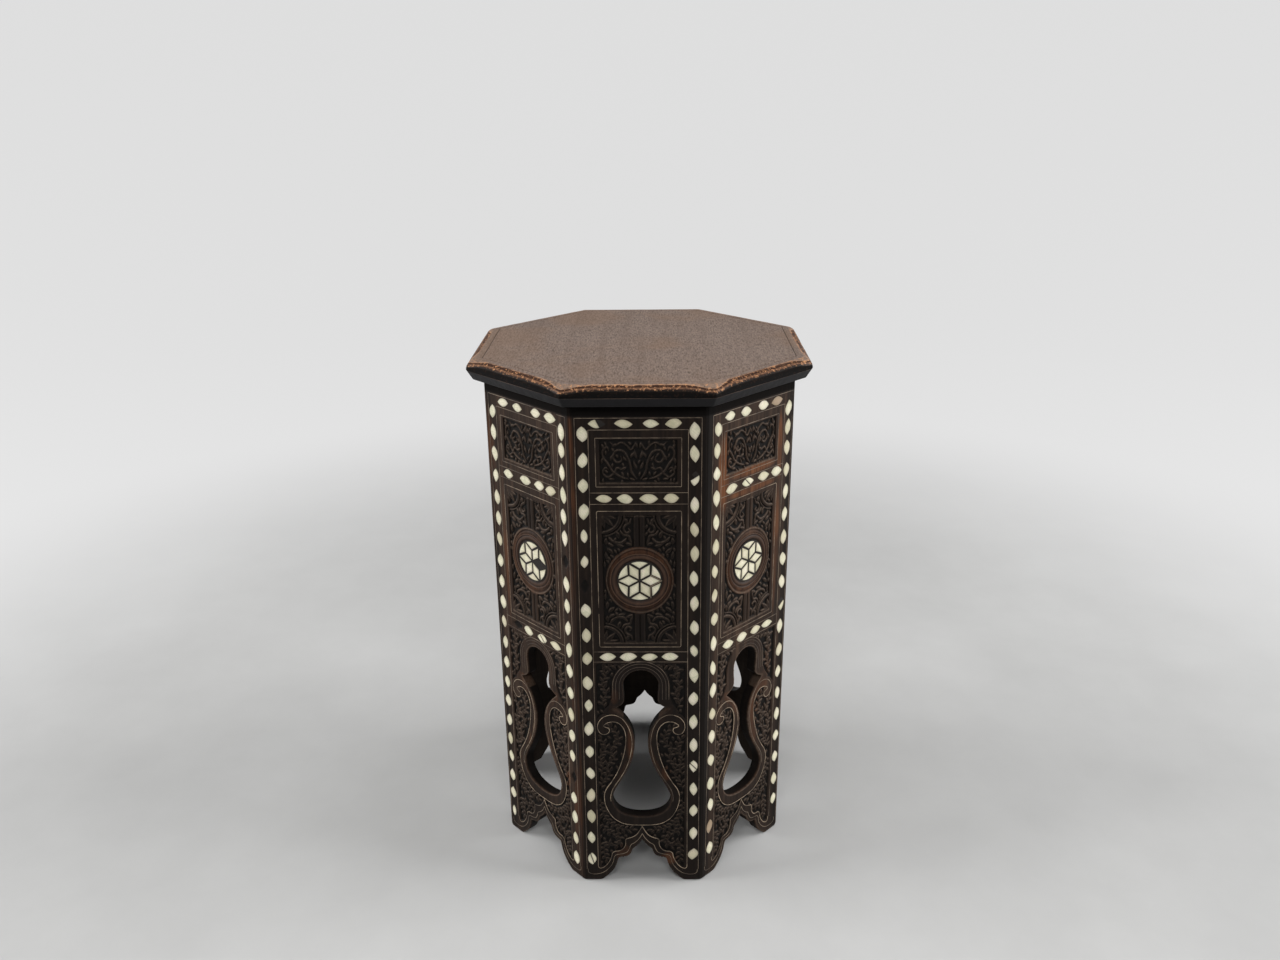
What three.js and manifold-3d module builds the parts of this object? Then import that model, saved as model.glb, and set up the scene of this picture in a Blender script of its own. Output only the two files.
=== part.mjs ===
// Octagonal kursi stool: a plain top on a drum of eight mitred and carved walnut boards.
// Millimetres, +Z up. The origin lies on the floor under the centre of the drum.
// Every side is made once, facing -Y, and turned about Z to its place.

import * as THREE from "three";
import { mergeVertices } from "three/addons/utils/BufferGeometryUtils.js";
import Module from "manifold-3d";

const wasm = await Module();
wasm.setup();

// The whole stool
const height = 480;
const sideCount = 8;
const turn = (2 * Math.PI) / sideCount;
const miterAngle = turn / 2;
const fitGap = 0.3;
const overrun = 3;

// Top board, measured from its centre to its flats
const topHalfWidth = 145;
const topOverhang = 13.5;
const topThickness = 17.4;
const topRoll = 8.7;
const topChamferReach = 5;
const topLineWidth = 1.2;
const topLineDepth = 0.6;

// Side boards
const drumHalfWidth = topHalfWidth - topOverhang;
const boardThickness = 10;
const carvingDepth = 1.6;

// Carved plaque under the top rail of inlay
const plaqueHalfWidth = 31;
const plaqueBottom = 396.5;
const plaqueHeight = 36.5;

// Carved field round the medallion
const fieldHalfWidth = 30.5;
const fieldBottom = 251.5;
const fieldHeight = 116.5;
const fieldBarHalfWidth = 3;
const fieldCornerRadius = 17.5;
const fieldCornerBand = 3;
const fieldRingRadius = 29.5;
const fieldRingEnd = Math.PI / 16;

// Medallion, a turned disc let into the board, and the pearl star let into the disc
const medallionRadius = 25;
const medallionDepth = 4.5;
const medallionCrown = 0.5;
const starRadius = 19;
const starThickness = 1.4;
const starTipRadius = 18;
const starGroove = 0.9;
const starGrooveDepth = 0.5;
const starArms = 6;

// Opening, from the foot of the vase up: every rise is the height over the place before
const vaseBottom = 72.5;
const vaseHalfWidth = 26.2;
const vaseRise = 20.5;
const neckHalfWidth = 5.8;
const neckRise = 59;
const lipHalfWidth = 24.5;
const lipRise = 34.5;
const cuspHalfWidth = 14.5;
const cuspRise = 9.5;
const headRadius = 15.5;
const headRise = 13.5;

// Smooth band left standing round the opening, and the carved ground beside it
const headBand = 9;
const groundStrip = 5;
const groundHalfWidth = lipHalfWidth + headBand + groundStrip;
const spandrelRise = 19.5;
const scrollDrop = 3.5;

// Ogee arch between the two feet of a board, and the smooth band over it
const archTop = 47;
const archHalfWidth = 39;
const archBandTop = 60;
const archBandFoot = 17;

// Cleats that hold the top, with their screws, and blocks glued inside the mitres
const cleatHeight = 18;
const cleatDepth = 17;
const screwRadius = 1.7;
const screwHeadRadius = 3.6;
const screwHeadHeight = 2.6;
const screwBite = 9;
const screwSlotWidth = 1;
const screwSlotDepth = 1.2;
const blockLeg = 15;
const blockDepth = 9;
const blockBottom = 238;

// Facets of the round forms
const turnedFacets = 24;
const drilledFacets = 10;
const rollFacets = 5;
const arcFacets = 6;
const bandFacets = 4;
const cornerFacets = 3;

// Heights and distances that follow from the sizes above
const underTop = height - topThickness;
const boardTop = underTop - fitGap;
const boardBack = drumHalfWidth - boardThickness;
const cleatBack = boardBack - fitGap;
const cleatFront = cleatBack - cleatDepth;
const cleatBottom = boardTop - cleatHeight;
const screwPlace = (cleatBack + cleatFront) / 2;
const fieldCentre = fieldBottom + fieldHeight / 2;
const vaseHeight = vaseBottom + vaseRise;
const neckHeight = vaseHeight + neckRise;
const lipHeight = neckHeight + lipRise;
const cuspHeight = lipHeight + cuspRise;
const headCentre = cuspHeight + headRise;
const bandBottom = vaseBottom - headBand;
const spandrelTop = headCentre + spandrelRise;
const scrollTop = lipHeight - scrollDrop;
const starSideRadius = starTipRadius / 2 / Math.cos(Math.PI / starArms);

// Handles of the curves of the opening, as shares of the way along each curve
const flareShare = 0.65;
const shoulderShares = { across: 0.39, down: 0.22 };
const throatShares = { across: 0.94, down: 0.45 };
const sideShares = { straight: 0.47, round: 0.8 };
const baseShares = { down: 0.7, across: 0.6 };

// Half outlines on the +u side. Each pair is a share of a width and a share of a height.
// Ogee arch, from its point down to the foot: shares of archHalfWidth and archTop
const archShares = [
  [0, 1],
  [0.05, 0.93],
  [0.13, 0.84],
  [0.26, 0.72],
  [0.36, 0.6],
  [0.57, 0.56],
  [0.6, 0.48],
  [0.64, 0.36],
  [0.72, 0.23],
  [0.86, 0.12],
  [1, 0],
];
// Carved ground inside the scroll: shares of groundHalfWidth, and from bandBottom up to the lip
const scrollShares = [
  [0.805, 0.874],
  [0.675, 0.891],
  [0.52, 0.874],
  [0.416, 0.83],
  [0.39, 0.741],
  [0.405, 0.66],
  [0.473, 0.563],
  [0.584, 0.466],
  [0.727, 0.393],
  [0.844, 0.336],
  [0.904, 0.279],
  [1, 0.263],
  [1, 0.765],
  [0.883, 0.777],
  [0.74, 0.789],
  [0.688, 0.822],
  [0.74, 0.858],
];
// Edge of the band round the vase, widest point to foot: groundHalfWidth, and bandBottom to lip
const bandShares = [
  [1, 0.245],
  [0.92, 0.2],
  [0.85, 0.12],
  [0.7, 0.05],
  [0.42, 0.008],
  [0.13, -0.02],
];
// Edge of the band over the arch: shares of groundHalfWidth, and archBandFoot up to archBandTop
const archBandShares = [
  [0.16, 0.84],
  [0.38, 0.73],
  [0.42, 0.6],
  [0.53, 0.49],
  [0.7, 0.42],
  [0.78, 0.3],
  [0.82, 0.16],
  [0.9, 0.05],
  [1, 0],
];

// Materials
function finish(color, roughness) {
  return new THREE.MeshStandardMaterial({ color, roughness, metalness: 0 });
}
const topWood = finish(0x4a3228, 0.55);
const carvedWood = finish(0x2e1f1a, 0.6);
const medallionWood = finish(0x4b2c20, 0.5);
const pearl = finish(0xdde0cc, 0.25);
const innerWood = finish(0x5a4232, 0.8);
const steel = new THREE.MeshStandardMaterial({ color: 0x6b6762, roughness: 0.5, metalness: 1 });

// Geometry helpers
function place(u, z) {
  return new THREE.Vector2(u, z);
}

function mix(from, to, share) {
  return THREE.MathUtils.lerp(from, to, share);
}

// A point part of the way from one to another, by its shares of the way across and down
function between(from, to, shares) {
  return place(mix(from.x, to.x, shares.across), mix(from.y, to.y, shares.down));
}

// Points at shares of a width and of the height from low to high
function shared(shares, width, low, high) {
  return shares.map(([across, up]) => place(across * width, mix(low, high, up)));
}

function arc(centre, radius, from, to, facets) {
  const curve = new THREE.EllipseCurve(centre.x, centre.y, radius, radius, from, to, to < from);
  return curve.getPoints(facets);
}

function mirrored(points) {
  return points.map((point) => place(-point.x, point.y)).reverse();
}

// A closed outline from a half that starts and ends on the centre line
function wholeOutline(half) {
  return new THREE.Shape([...half, ...mirrored(half.slice(1, -1))]);
}

// A closed solid from a geometry: shared corners merged, and facets of no size left out
function solidOf(geometry) {
  geometry.deleteAttribute("normal");
  geometry.deleteAttribute("uv");
  const merged = mergeVertices(geometry);
  const index = merged.index.array;
  const facets = [];
  for (let first = 0; first < index.length; first += 3) {
    const corners = [index[first], index[first + 1], index[first + 2]];
    if (new Set(corners).size === corners.length) facets.push(...corners);
  }
  const mesh = new wasm.Mesh({
    numProp: 3,
    vertProperties: new Float32Array(merged.attributes.position.array),
    triVerts: new Uint32Array(facets),
  });
  return new wasm.Manifold(mesh);
}

function geometryOf(solid) {
  const mesh = solid.getMesh();
  const geometry = new THREE.BufferGeometry();
  geometry.setAttribute("position", new THREE.BufferAttribute(mesh.vertProperties, mesh.numProp));
  geometry.setIndex(new THREE.BufferAttribute(mesh.triVerts, 1));
  return geometry;
}

// An outline in u and z made solid between two distances from the stool's axis, facing -Y
function slab(shape, back, front) {
  const geometry = new THREE.ExtrudeGeometry(shape, { depth: front - back, bevelEnabled: false });
  geometry.translate(0, 0, back);
  geometry.rotateX(Math.PI / 2);
  return solidOf(geometry);
}

// A plan outline raised from bottom to top
function prism(shape, bottom, top) {
  const geometry = new THREE.ExtrudeGeometry(shape, { depth: top - bottom, bevelEnabled: false });
  geometry.translate(0, 0, bottom);
  return solidOf(geometry);
}

// A profile of radius and height turned about Z, with a flat facing -Y where facets are few
function turned(profile, facets) {
  const geometry = new THREE.LatheGeometry(profile, facets, Math.PI / facets);
  geometry.rotateX(Math.PI / 2);
  return solidOf(geometry);
}

// A straight hole or peg on Z
function peg(radius, bottom, top) {
  const profile = [place(0, bottom), place(radius, bottom), place(radius, top), place(0, top)];
  return turned(profile, drilledFacets);
}

// Plan of a board or cleat: flats at two distances, ends cut to the miter less half the gap
function miteredPlan(back, front) {
  const inset = fitGap / 2 / Math.cos(miterAngle);
  const backHalf = back * Math.tan(miterAngle) - inset;
  const frontHalf = front * Math.tan(miterAngle) - inset;
  return new THREE.Shape([
    place(-frontHalf, -front),
    place(frontHalf, -front),
    place(backHalf, -back),
    place(-backHalf, -back),
  ]);
}

// Top board: an octagon with a rolled upper edge, a chamfer below and a fine line on top
function topBoard() {
  const toCorner = 1 / Math.cos(miterAngle);
  const rollCentre = place(topHalfWidth - topRoll, height - topRoll);
  const lineInner = drumHalfWidth - topLineWidth / 2;
  const lineOuter = drumHalfWidth + topLineWidth / 2;
  const flats = [
    place(0, underTop),
    place(topHalfWidth - topChamferReach, underTop),
    ...arc(rollCentre, topRoll, 0, Math.PI / 2, rollFacets),
    place(lineOuter, height),
    place(drumHalfWidth, height - topLineDepth),
    place(lineInner, height),
    place(0, height),
  ];
  const corners = flats.map((point) => place(point.x * toCorner, point.y));
  let board = turned(corners, sideCount);
  for (let side = 0; side < sideCount; side += 1) {
    board = board.subtract(screwHole(side));
  }
  return board;
}

function screwHole(side) {
  const hole = peg(screwRadius + fitGap, underTop - overrun, underTop + screwBite + fitGap);
  const angle = side * turn - Math.PI / 2;
  return hole.translate([screwPlace * Math.cos(angle), screwPlace * Math.sin(angle), 0]);
}

// The opening through a board, from the top of its head down to the foot of the vase
function openingOutline() {
  const head = arc(place(0, headCentre), headRadius, Math.PI / 2, 0, arcFacets);
  const cusp = place(cuspHalfWidth, cuspHeight);
  const lip = place(lipHalfWidth, lipHeight);
  const neck = place(neckHalfWidth, neckHeight);
  const belly = place(vaseHalfWidth, vaseHeight);
  const foot = place(0, vaseBottom);
  const flare = new THREE.QuadraticBezierCurve(
    cusp,
    place(cuspHalfWidth, mix(cuspHeight, lipHeight, flareShare)),
    lip,
  );
  const shoulder = new THREE.CubicBezierCurve(
    lip,
    between(lip, neck, shoulderShares),
    between(lip, neck, throatShares),
    neck,
  );
  const side = new THREE.CubicBezierCurve(
    neck,
    place(neckHalfWidth, mix(neckHeight, vaseHeight, sideShares.straight)),
    place(vaseHalfWidth, mix(neckHeight, vaseHeight, sideShares.round)),
    belly,
  );
  const base = new THREE.CubicBezierCurve(
    belly,
    place(vaseHalfWidth, mix(vaseHeight, vaseBottom, baseShares.down)),
    place(vaseHalfWidth * baseShares.across, vaseBottom),
    foot,
  );
  return wholeOutline([
    ...head,
    ...flare.getPoints(bandFacets),
    ...shoulder.getPoints(arcFacets).slice(1),
    ...side.getPoints(arcFacets).slice(1),
    ...base.getPoints(arcFacets).slice(1),
  ]);
}

// The arch between the feet, run out below the floor
function archOutline() {
  const arch = shared(archShares, archHalfWidth, 0, archTop);
  return wholeOutline([...arch, place(archHalfWidth, -overrun), place(0, -overrun)]);
}

// Pockets of the carved field on the +u side above its middle: beside the bar, and in the corner
function fieldPockets() {
  const middle = place(0, fieldCentre);
  const corner = place(fieldHalfWidth, fieldBottom + fieldHeight);
  const ringStart = Math.asin(fieldBarHalfWidth / fieldRingRadius);
  const ring = arc(middle, fieldRingRadius, fieldRingEnd, Math.PI / 2 - ringStart, arcFacets);
  const band = fieldCornerRadius;
  const beside = [
    ...ring,
    place(fieldBarHalfWidth, corner.y),
    place(corner.x - band, corner.y),
    ...arc(corner, band, Math.PI, (3 * Math.PI) / 2, bandFacets).slice(1),
  ];
  const inner = [corner, ...arc(corner, band - fieldCornerBand, Math.PI, (3 * Math.PI) / 2, cornerFacets)];
  return [beside, inner];
}

// The same pockets below the middle
function flipped(points) {
  return points.map((point) => place(point.x, 2 * fieldCentre - point.y)).reverse();
}

// Carved ground beside the opening on the +u side: beside its head, in the scroll, over the foot
function spandrelPockets() {
  const bandRadius = headRadius + headBand;
  const reach = Math.asin((spandrelTop - headCentre) / bandRadius);
  const beside = [
    place(groundHalfWidth, spandrelTop),
    ...arc(place(0, headCentre), bandRadius, reach, 0, bandFacets),
    place(bandRadius, cuspHeight),
    place(lipHalfWidth + headBand / 2, lipHeight),
    place(lipHalfWidth + headBand, scrollTop),
    place(groundHalfWidth, scrollTop),
  ];
  const inScroll = shared(scrollShares, groundHalfWidth, bandBottom, lipHeight);
  const overFoot = [
    ...shared(bandShares, groundHalfWidth, bandBottom, lipHeight),
    ...shared(archBandShares, groundHalfWidth, archBandFoot, archBandTop),
  ];
  return [beside, inScroll, overFoot];
}

// Side board with its opening, arch, carved grounds and round socket for the medallion
function sideBoard() {
  const front = drumHalfWidth + overrun;
  const carved = drumHalfWidth - carvingDepth;
  const field = fieldPockets();
  const right = [...field, ...field.map(flipped), ...spandrelPockets()];
  let board = prism(miteredPlan(boardBack, drumHalfWidth), 0, boardTop);
  board = board.subtract(slab(openingOutline(), boardBack - overrun, front));
  board = board.subtract(slab(archOutline(), boardBack - overrun, front));
  for (const points of [...right, ...right.map(mirrored)]) {
    board = board.subtract(slab(new THREE.Shape(points), carved, front));
  }
  const plaque = new THREE.Shape([
    place(-plaqueHalfWidth, plaqueBottom),
    place(plaqueHalfWidth, plaqueBottom),
    place(plaqueHalfWidth, plaqueBottom + plaqueHeight),
    place(-plaqueHalfWidth, plaqueBottom + plaqueHeight),
  ]);
  board = board.subtract(slab(plaque, carved, front));
  return board.subtract(slab(roundOutline(medallionRadius), drumHalfWidth - medallionDepth, front));
}

// A circle about the middle of the field
function roundOutline(radius) {
  return new THREE.Shape(arc(place(0, fieldCentre), radius, 0, 2 * Math.PI, turnedFacets).slice(1));
}

// Medallion: a turned disc with a crowned rim round the recess of the star
function medallion() {
  const rim = medallionRadius - fitGap;
  const face = drumHalfWidth;
  const back = drumHalfWidth - medallionDepth + fitGap;
  const floor = drumHalfWidth - starThickness - fitGap;
  const profile = [
    place(0, back),
    place(rim, back),
    place(rim, face),
    place((rim + starRadius) / 2, face + medallionCrown),
    place(starRadius, face),
    place(starRadius, floor),
    place(0, floor),
  ];
  const geometry = new THREE.LatheGeometry(profile, turnedFacets);
  geometry.rotateX(Math.PI);
  geometry.translate(0, 0, fieldCentre);
  return solidOf(geometry);
}

// Pearl star: one round bed cut by the lines between its six rhombi and six outer pieces
function pearlStar() {
  const bed = roundOutline(starRadius - fitGap);
  let star = slab(bed, drumHalfWidth - starThickness, drumHalfWidth);
  const step = (2 * Math.PI) / starArms;
  for (let arm = 0; arm < starArms; arm += 1) {
    const side = onStar(starSideRadius, arm * step + step / 2);
    star = star.subtract(starLine(place(0, 0), side));
    star = star.subtract(starLine(side, onStar(starRadius, arm * step)));
    star = star.subtract(starLine(side, onStar(starRadius, arm * step + step)));
  }
  return star;
}

function onStar(radius, angle) {
  return place(radius * Math.cos(angle), radius * Math.sin(angle));
}

// A groove in the star's face from one point to another
function starLine(from, to) {
  const along = place(to.x - from.x, to.y - from.y);
  const geometry = new THREE.BoxGeometry(along.length() + starGroove, 2 * starGrooveDepth, starGroove);
  geometry.rotateY(-along.angle());
  geometry.translate((from.x + to.x) / 2, -drumHalfWidth, fieldCentre + (from.y + to.y) / 2);
  return solidOf(geometry);
}

// Block glued inside the miter at the +u end of the front board
function cornerBlock() {
  const cornerAngle = miterAngle - Math.PI / 2;
  const reach = (boardBack - fitGap) / Math.cos(miterAngle);
  const corner = place(reach * Math.cos(cornerAngle), reach * Math.sin(cornerAngle));
  const alongFront = place(-1, 0);
  const alongNext = place(Math.cos(turn), Math.sin(turn));
  const inFront = place(0, 1);
  const inNext = place(-Math.sin(turn), Math.cos(turn));
  const onFront = corner.clone().addScaledVector(alongFront, blockLeg);
  const onNext = corner.clone().addScaledVector(alongNext, blockLeg);
  const plan = new THREE.Shape([
    corner,
    onNext,
    onNext.clone().addScaledVector(inNext, blockDepth),
    onFront.clone().addScaledVector(inFront, blockDepth),
    onFront,
  ]);
  return prism(plan, blockBottom, cleatBottom - fitGap);
}

// Cleat along the upper edge of the front board, bored and countersunk for its screw
function topCleat() {
  const plan = miteredPlan(cleatFront, cleatBack);
  const cleat = prism(plan, cleatBottom, boardTop);
  const bore = peg(screwRadius + fitGap, cleatBottom - overrun, boardTop + overrun);
  const sink = turned(
    [
      place(0, cleatBottom - overrun),
      place(screwHeadRadius + fitGap, cleatBottom - overrun),
      place(screwHeadRadius + fitGap, cleatBottom),
      place(screwRadius + fitGap, cleatBottom + screwHeadHeight),
      place(0, cleatBottom + screwHeadHeight),
    ],
    drilledFacets,
  );
  return cleat.subtract(bore.add(sink).translate([0, -screwPlace, 0]));
}

// Countersunk wood screw, driven up through the cleat into the top
function topScrew() {
  const shank = turned(
    [
      place(0, cleatBottom),
      place(screwHeadRadius, cleatBottom),
      place(screwRadius, cleatBottom + screwHeadHeight),
      place(screwRadius, underTop + screwBite - screwRadius),
      place(0, underTop + screwBite),
    ],
    drilledFacets,
  );
  const slot = new THREE.BoxGeometry(2 * screwHeadRadius + overrun, screwSlotWidth, 2 * screwSlotDepth);
  slot.translate(0, 0, cleatBottom);
  return shank.subtract(solidOf(slot)).translate([0, -screwPlace, 0]);
}

// Assembly
const stool = new THREE.Group();

function add(name, geometry, material, side = 0) {
  const mesh = new THREE.Mesh(geometry, material);
  mesh.name = name;
  mesh.rotation.z = side * turn;
  stool.add(mesh);
}

add("top_board", geometryOf(topBoard()), topWood);

// Sides are numbered from the front, anticlockwise seen from above
const perSide = [
  ["side_board", geometryOf(sideBoard()), carvedWood],
  ["medallion", geometryOf(medallion()), medallionWood],
  ["pearl_star", geometryOf(pearlStar()), pearl],
  ["corner_block", geometryOf(cornerBlock()), innerWood],
  ["top_cleat", geometryOf(topCleat()), innerWood],
  ["top_screw", geometryOf(topScrew()), steel],
];
for (const [name, geometry, material] of perSide) {
  for (let side = 0; side < sideCount; side += 1) {
    add(`${name}_${side + 1}`, geometry, material, side);
  }
}

export default stool;
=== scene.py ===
"""Octagonal kursi stool: carved walnut boards with pearl lozenges and stringing, dressed round its frame.

Design sizes are in millimetres, in a board's own plane: u runs along the board to the right as seen from
outside, z runs up, and out is the distance from the stool's axis. MM turns them into metres.
"""

import math

import bpy
import numpy as np
from mathutils import Matrix, Vector
from mathutils.geometry import tessellate_polygon


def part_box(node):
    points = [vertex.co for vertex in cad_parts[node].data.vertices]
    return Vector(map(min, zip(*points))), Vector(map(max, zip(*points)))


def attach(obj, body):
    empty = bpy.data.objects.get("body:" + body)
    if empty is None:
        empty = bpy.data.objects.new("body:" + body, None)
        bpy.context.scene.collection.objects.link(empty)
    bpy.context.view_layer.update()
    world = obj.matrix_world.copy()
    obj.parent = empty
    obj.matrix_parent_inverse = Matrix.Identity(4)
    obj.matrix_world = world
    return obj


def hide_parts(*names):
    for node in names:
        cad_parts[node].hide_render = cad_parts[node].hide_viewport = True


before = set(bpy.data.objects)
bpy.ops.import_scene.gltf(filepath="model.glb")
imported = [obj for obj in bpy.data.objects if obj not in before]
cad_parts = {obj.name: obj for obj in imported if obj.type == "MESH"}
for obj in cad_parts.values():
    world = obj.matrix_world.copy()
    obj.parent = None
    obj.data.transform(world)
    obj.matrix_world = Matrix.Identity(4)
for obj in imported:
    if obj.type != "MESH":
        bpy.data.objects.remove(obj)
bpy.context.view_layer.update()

MM = 0.001
SIDES = 8
TURN = 2 * math.pi / SIDES
SEED = 7
# Angles of the points of a turned ring
ROUND = np.linspace(0, 2 * math.pi, 96, endpoint=False)

# Sizes read from the frame
TOP_LOW, TOP_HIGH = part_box("top_board")
BOARD_LOW, BOARD_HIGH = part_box("side_board_1")
TOP_FACE = TOP_HIGH.z / MM
TOP_UNDER = TOP_LOW.z / MM
TOP_HALF = TOP_HIGH.x / MM
BOARD_TOP = BOARD_HIGH.z / MM
BOARD_HALF = BOARD_HIGH.x / MM
FACE = -BOARD_LOW.y / MM
BACK = -BOARD_HIGH.y / MM

# Board edges, and where the walls of a mitre start to lean in
MITER_CLOSE = 0.1
CORNER_ROUND = 1.6
EDGE_ROUND = 0.9
FOOT_ROUND = 5.0
WALL_LEAN_U = 39.5

# Inlay on a board
FRAME_TOP = 451.0
RAILS = {"top": 446.2, "middle": 383.4, "low": 238.2}
RAIL_HALF = 4.9
PEARL_WIDE = 3.95
PEARL_LONG = 6.8
PEARL_PROUD = 0.22
WIRE_WIDTH = 0.46
WIRE_PROUD = 0.07
# Lines that lean out towards the floor, as u at FRAME_TOP and at the floor
COLUMN_U = (44.4, 46.4)
WIRE_IN = (39.4, 41.0)
WIRE_OUT = (50.0, 51.4)
# How far that inlay sits to the right on some boards, at FRAME_TOP and at the floor
SHIFT = {1: (2.2, 1.7), 7: (0.3, -1.7)}
HANDS = {"left": -1, "right": 1}
# Columns of lozenges, by board and hand: heights of the first and last, how many, how their pitch grows
COLUMNS = {
    (0, "left"): (437.4, 26.0, 19, 1.03),
    (0, "right"): (439.6, 31.0, 19, 1.06),
    (1, "left"): (439.0, 31.6, 19, 1.08),
    (1, "right"): (437.4, 37.4, 19, 1.1),
    (7, "left"): (436.4, 23.0, 21, 1.03),
    (7, "right"): (438.0, 22.0, 21, 1.08),
}
# Lozenges of the rails, by board: places along the top, middle and low rail
RAIL_US = {
    0: ((-32.4, -11.4, 10.2, 27.7), (-28.3, -11.3, 8.1, 26.3), (-28.0, -10.5, 8.0, 25.4)),
    1: ((-28.2, -8.6, 13.0, 30.6), (-24.0, -4.0, 16.0, 33.2), (-24.4, -6.2, 11.8, 28.2)),
    7: ((-29.0, -9.8, 13.8, 31.8), (-27.2, -3.7, 14.2, 29.4), (-26.2, -9.8, 8.6, 26.8)),
}
# Lozenges that time has lost, split or shrunk: board, column or rail, and number in it
DAMAGE = {
    "missing": [
        (0, "left", 6), (3, "left", 11), (6, "right", 16), (7, "right", 6), (7, "right", 16), (7, "low", 0),
    ],
    "split": [(0, "left", 18), (0, "right", 14), (1, "middle", 1), (7, "low", 2), (4, "right", 4)],
    "half": [(0, "right", 2), (0, "top", 0), (1, "right", 9), (5, "middle", 2)],
    "slim": [(0, "left", 4), (0, "left", 5), (0, "right", 9), (7, "left", 20)],
    "fat": [(0, "right", 18)],
    "stained": [(1, "left", 17), (1, "top", 3)],
}
DAMAGED_SIZE = {"fat": (1.25, 0.92), "slim": (0.78, 0.86)}
# Directions across the cracks of split lozenges, and towards the kept part of halved ones
SPLIT = (0.72, 0.69)
SPLIT_AT_FOOT = (0.96, 0.28)
KEPT_UPRIGHT = (0.55, -0.83)
KEPT_LEVEL = (-0.9, -0.44)

# Carved grounds
CARVE = 1.5
GROUND_HALF = 38.4
GROUND_LOW = 16.5
GROUND_HIGH = 231.0
PLAQUE_HALF = 31.0
PLAQUE_LOW = 396.5
PLAQUE_HIGH = 433.0
PLAQUE_WIRE = (34.2, 393.4, 434.6)
PLAQUE_MID = (PLAQUE_LOW + PLAQUE_HIGH) / 2
FIELD_HALF = 30.5
FIELD_LOW = 251.5
FIELD_HIGH = 368.5
FIELD_WIRE = (34.4, 247.8, 372.4)
FIELD_MID = (FIELD_LOW + FIELD_HIGH) / 2
FIELD_REACH = (FIELD_HIGH - FIELD_LOW) / 2

# Medallion and star: the board's own ring has a hollow and a ridge, and a groove outside them
SOCKET_R = 24.5
SOCKET_DEPTH = 2.6
DISC_R = 24.7
RING_HOLLOW_R = 27.8
RING_RIDGE_R = 29.5
GROOVE_START_R = 29.7
GROOVE_R = 30.6
RING_TALLER = 0.085
STAR_R = 18.8
STAR_RIM_R = STAR_R - 0.4
STAR_TIP_R = 18.0
STAR_SIDE_R = STAR_TIP_R / 2 / math.cos(math.pi / 6)
STAR_GAP = 1.7
LOST_STAR_PEARLS = [(7, 0)]
# Boards whose star still has some of its metal lines, and the angles that each line joins
LINED_STARS = (0, 3, 6)
STAR_LINES = ((330, 300), (30, 0), (330, 0))
STAR_LINE_R = 10.39

# Opening
HEAD_R = 15.5
HEAD_Z = 209.5
CUSP = (14.5, 196.0)
LIP = (24.5, 186.5)
NECK = (5.8, 152.0)
BELLY = (26.2, 93.0)
VASE_FOOT = 72.5
HEAD_BAND_R = 24.9
# Wires round the head: radius and tone
HEAD_WIRES = ((18.6, 0.12), (21.7, 0.14), (24.2, 0.3))
# Where the rubbed lips of the head lie: from and to, out from the centre line and up
LIP_U = (13, 28)
LIP_Z = (177, 189)
# Heights between which hands have rubbed the neck's rim, and from which painted shade of the top's overhang
# darkens the boards
NECK_Z = (100, 190)
OVERHANG_SHADE_Z = (449.5, 453.5)

# Grid of a board's face: the step over the carving, half the width of that, and how far past a panel it goes
FINE = 0.62
FINE_HALF = 39.2
FINE_PAST = 1.5
FAR = 99.0
# Columns beyond the carving, closer together where the edge is rounded, and the edge itself
STILE_US = (40.2, 41.4, 42.6, 43.8, 45.0, 46.2, 47.4, 48.6, 49.8, 51.0, 52.2, 52.9, 53.4, 53.8, 54.1)
EDGE_U = BOARD_HALF + MITER_CLOSE
# Distances to an outline are worked out up to here
OUTLINE_REACH = 3.0

# How light the wood of each board has worn, from 0 to 1
BOARD_TONES = (0.0, 1.0, 0.75, 0.5, 0.35, 0.6, 0.85, 0.85)
# How far the mitre at each board's left has been rubbed pale, or blackened below nought
CORNER_WEAR = (0.2, -0.6, 0.2, 0.2, 0.2, 0.2, 0.2, 0.24)
# Places rubbed down to lighter wood, by board: u, z, reach along u and z, strength
SCUFFS = {
    0: [
        (-54, 380, 4, 90, 0.6), (-23, 199, 5, 9, 0.4), (-10, 150, 4, 26, 0.25), (-18, 32, 9, 12, 0.6),
        (22, 120, 5, 10, 0.4), (24, 26, 10, 8, 0.4),
    ],
    1: [
        (-34, 400, 8, 40, 1.0), (4, 393, 34, 5, 0.9), (2, 376, 36, 4, 1.0), (37, 405, 4, 36, 0.8),
        (36, 310, 5, 70, 0.8), (14, 150, 8, 44, 0.8), (22, 176, 12, 10, 0.7), (32, 200, 8, 20, 0.5),
    ],
    2: [(51, 330, 4, 90, 0.5)],
    3: [(-20, 300, 9, 12, 0.4)],
    5: [(30, 110, 8, 26, 0.5)],
    6: [(-50, 120, 4, 90, 0.5)],
    7: [
        (49, 300, 5, 170, 0.35), (50, 60, 6, 80, 0.4), (37, 105, 4, 14, 0.6), (36, 310, 4, 90, 0.35),
        (-36, 310, 4, 90, 0.35), (-50, 380, 6, 70, 0.4),
    ],
}


def mix(a, b, share):
    return a + (b - a) * share


def smooth(x):
    x = np.clip(x, 0.0, 1.0)
    return x * x * (3 - 2 * x)


def hill(x, width):
    return np.exp(-((x / width) ** 2))


# Curves in the plane of a board
def bezier(points, count):
    """Points on the Bezier curve of any order through its handles, the last one left out."""
    t = np.linspace(0, 1, count, endpoint=False)[:, None]
    rows = [np.array(p, float)[None, :] + 0 * t for p in points]
    while len(rows) > 1:
        rows = [a + (b - a) * t for a, b in zip(rows, rows[1:], strict=False)]
    return rows[0]


def arc(centre, radius, start, end, count):
    """Points on an arc in degrees, the last one left out."""
    angle = np.radians(np.linspace(start, end, count, endpoint=False))
    return np.stack([centre[0] + radius * np.cos(angle), centre[1] + radius * np.sin(angle)], -1)


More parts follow.
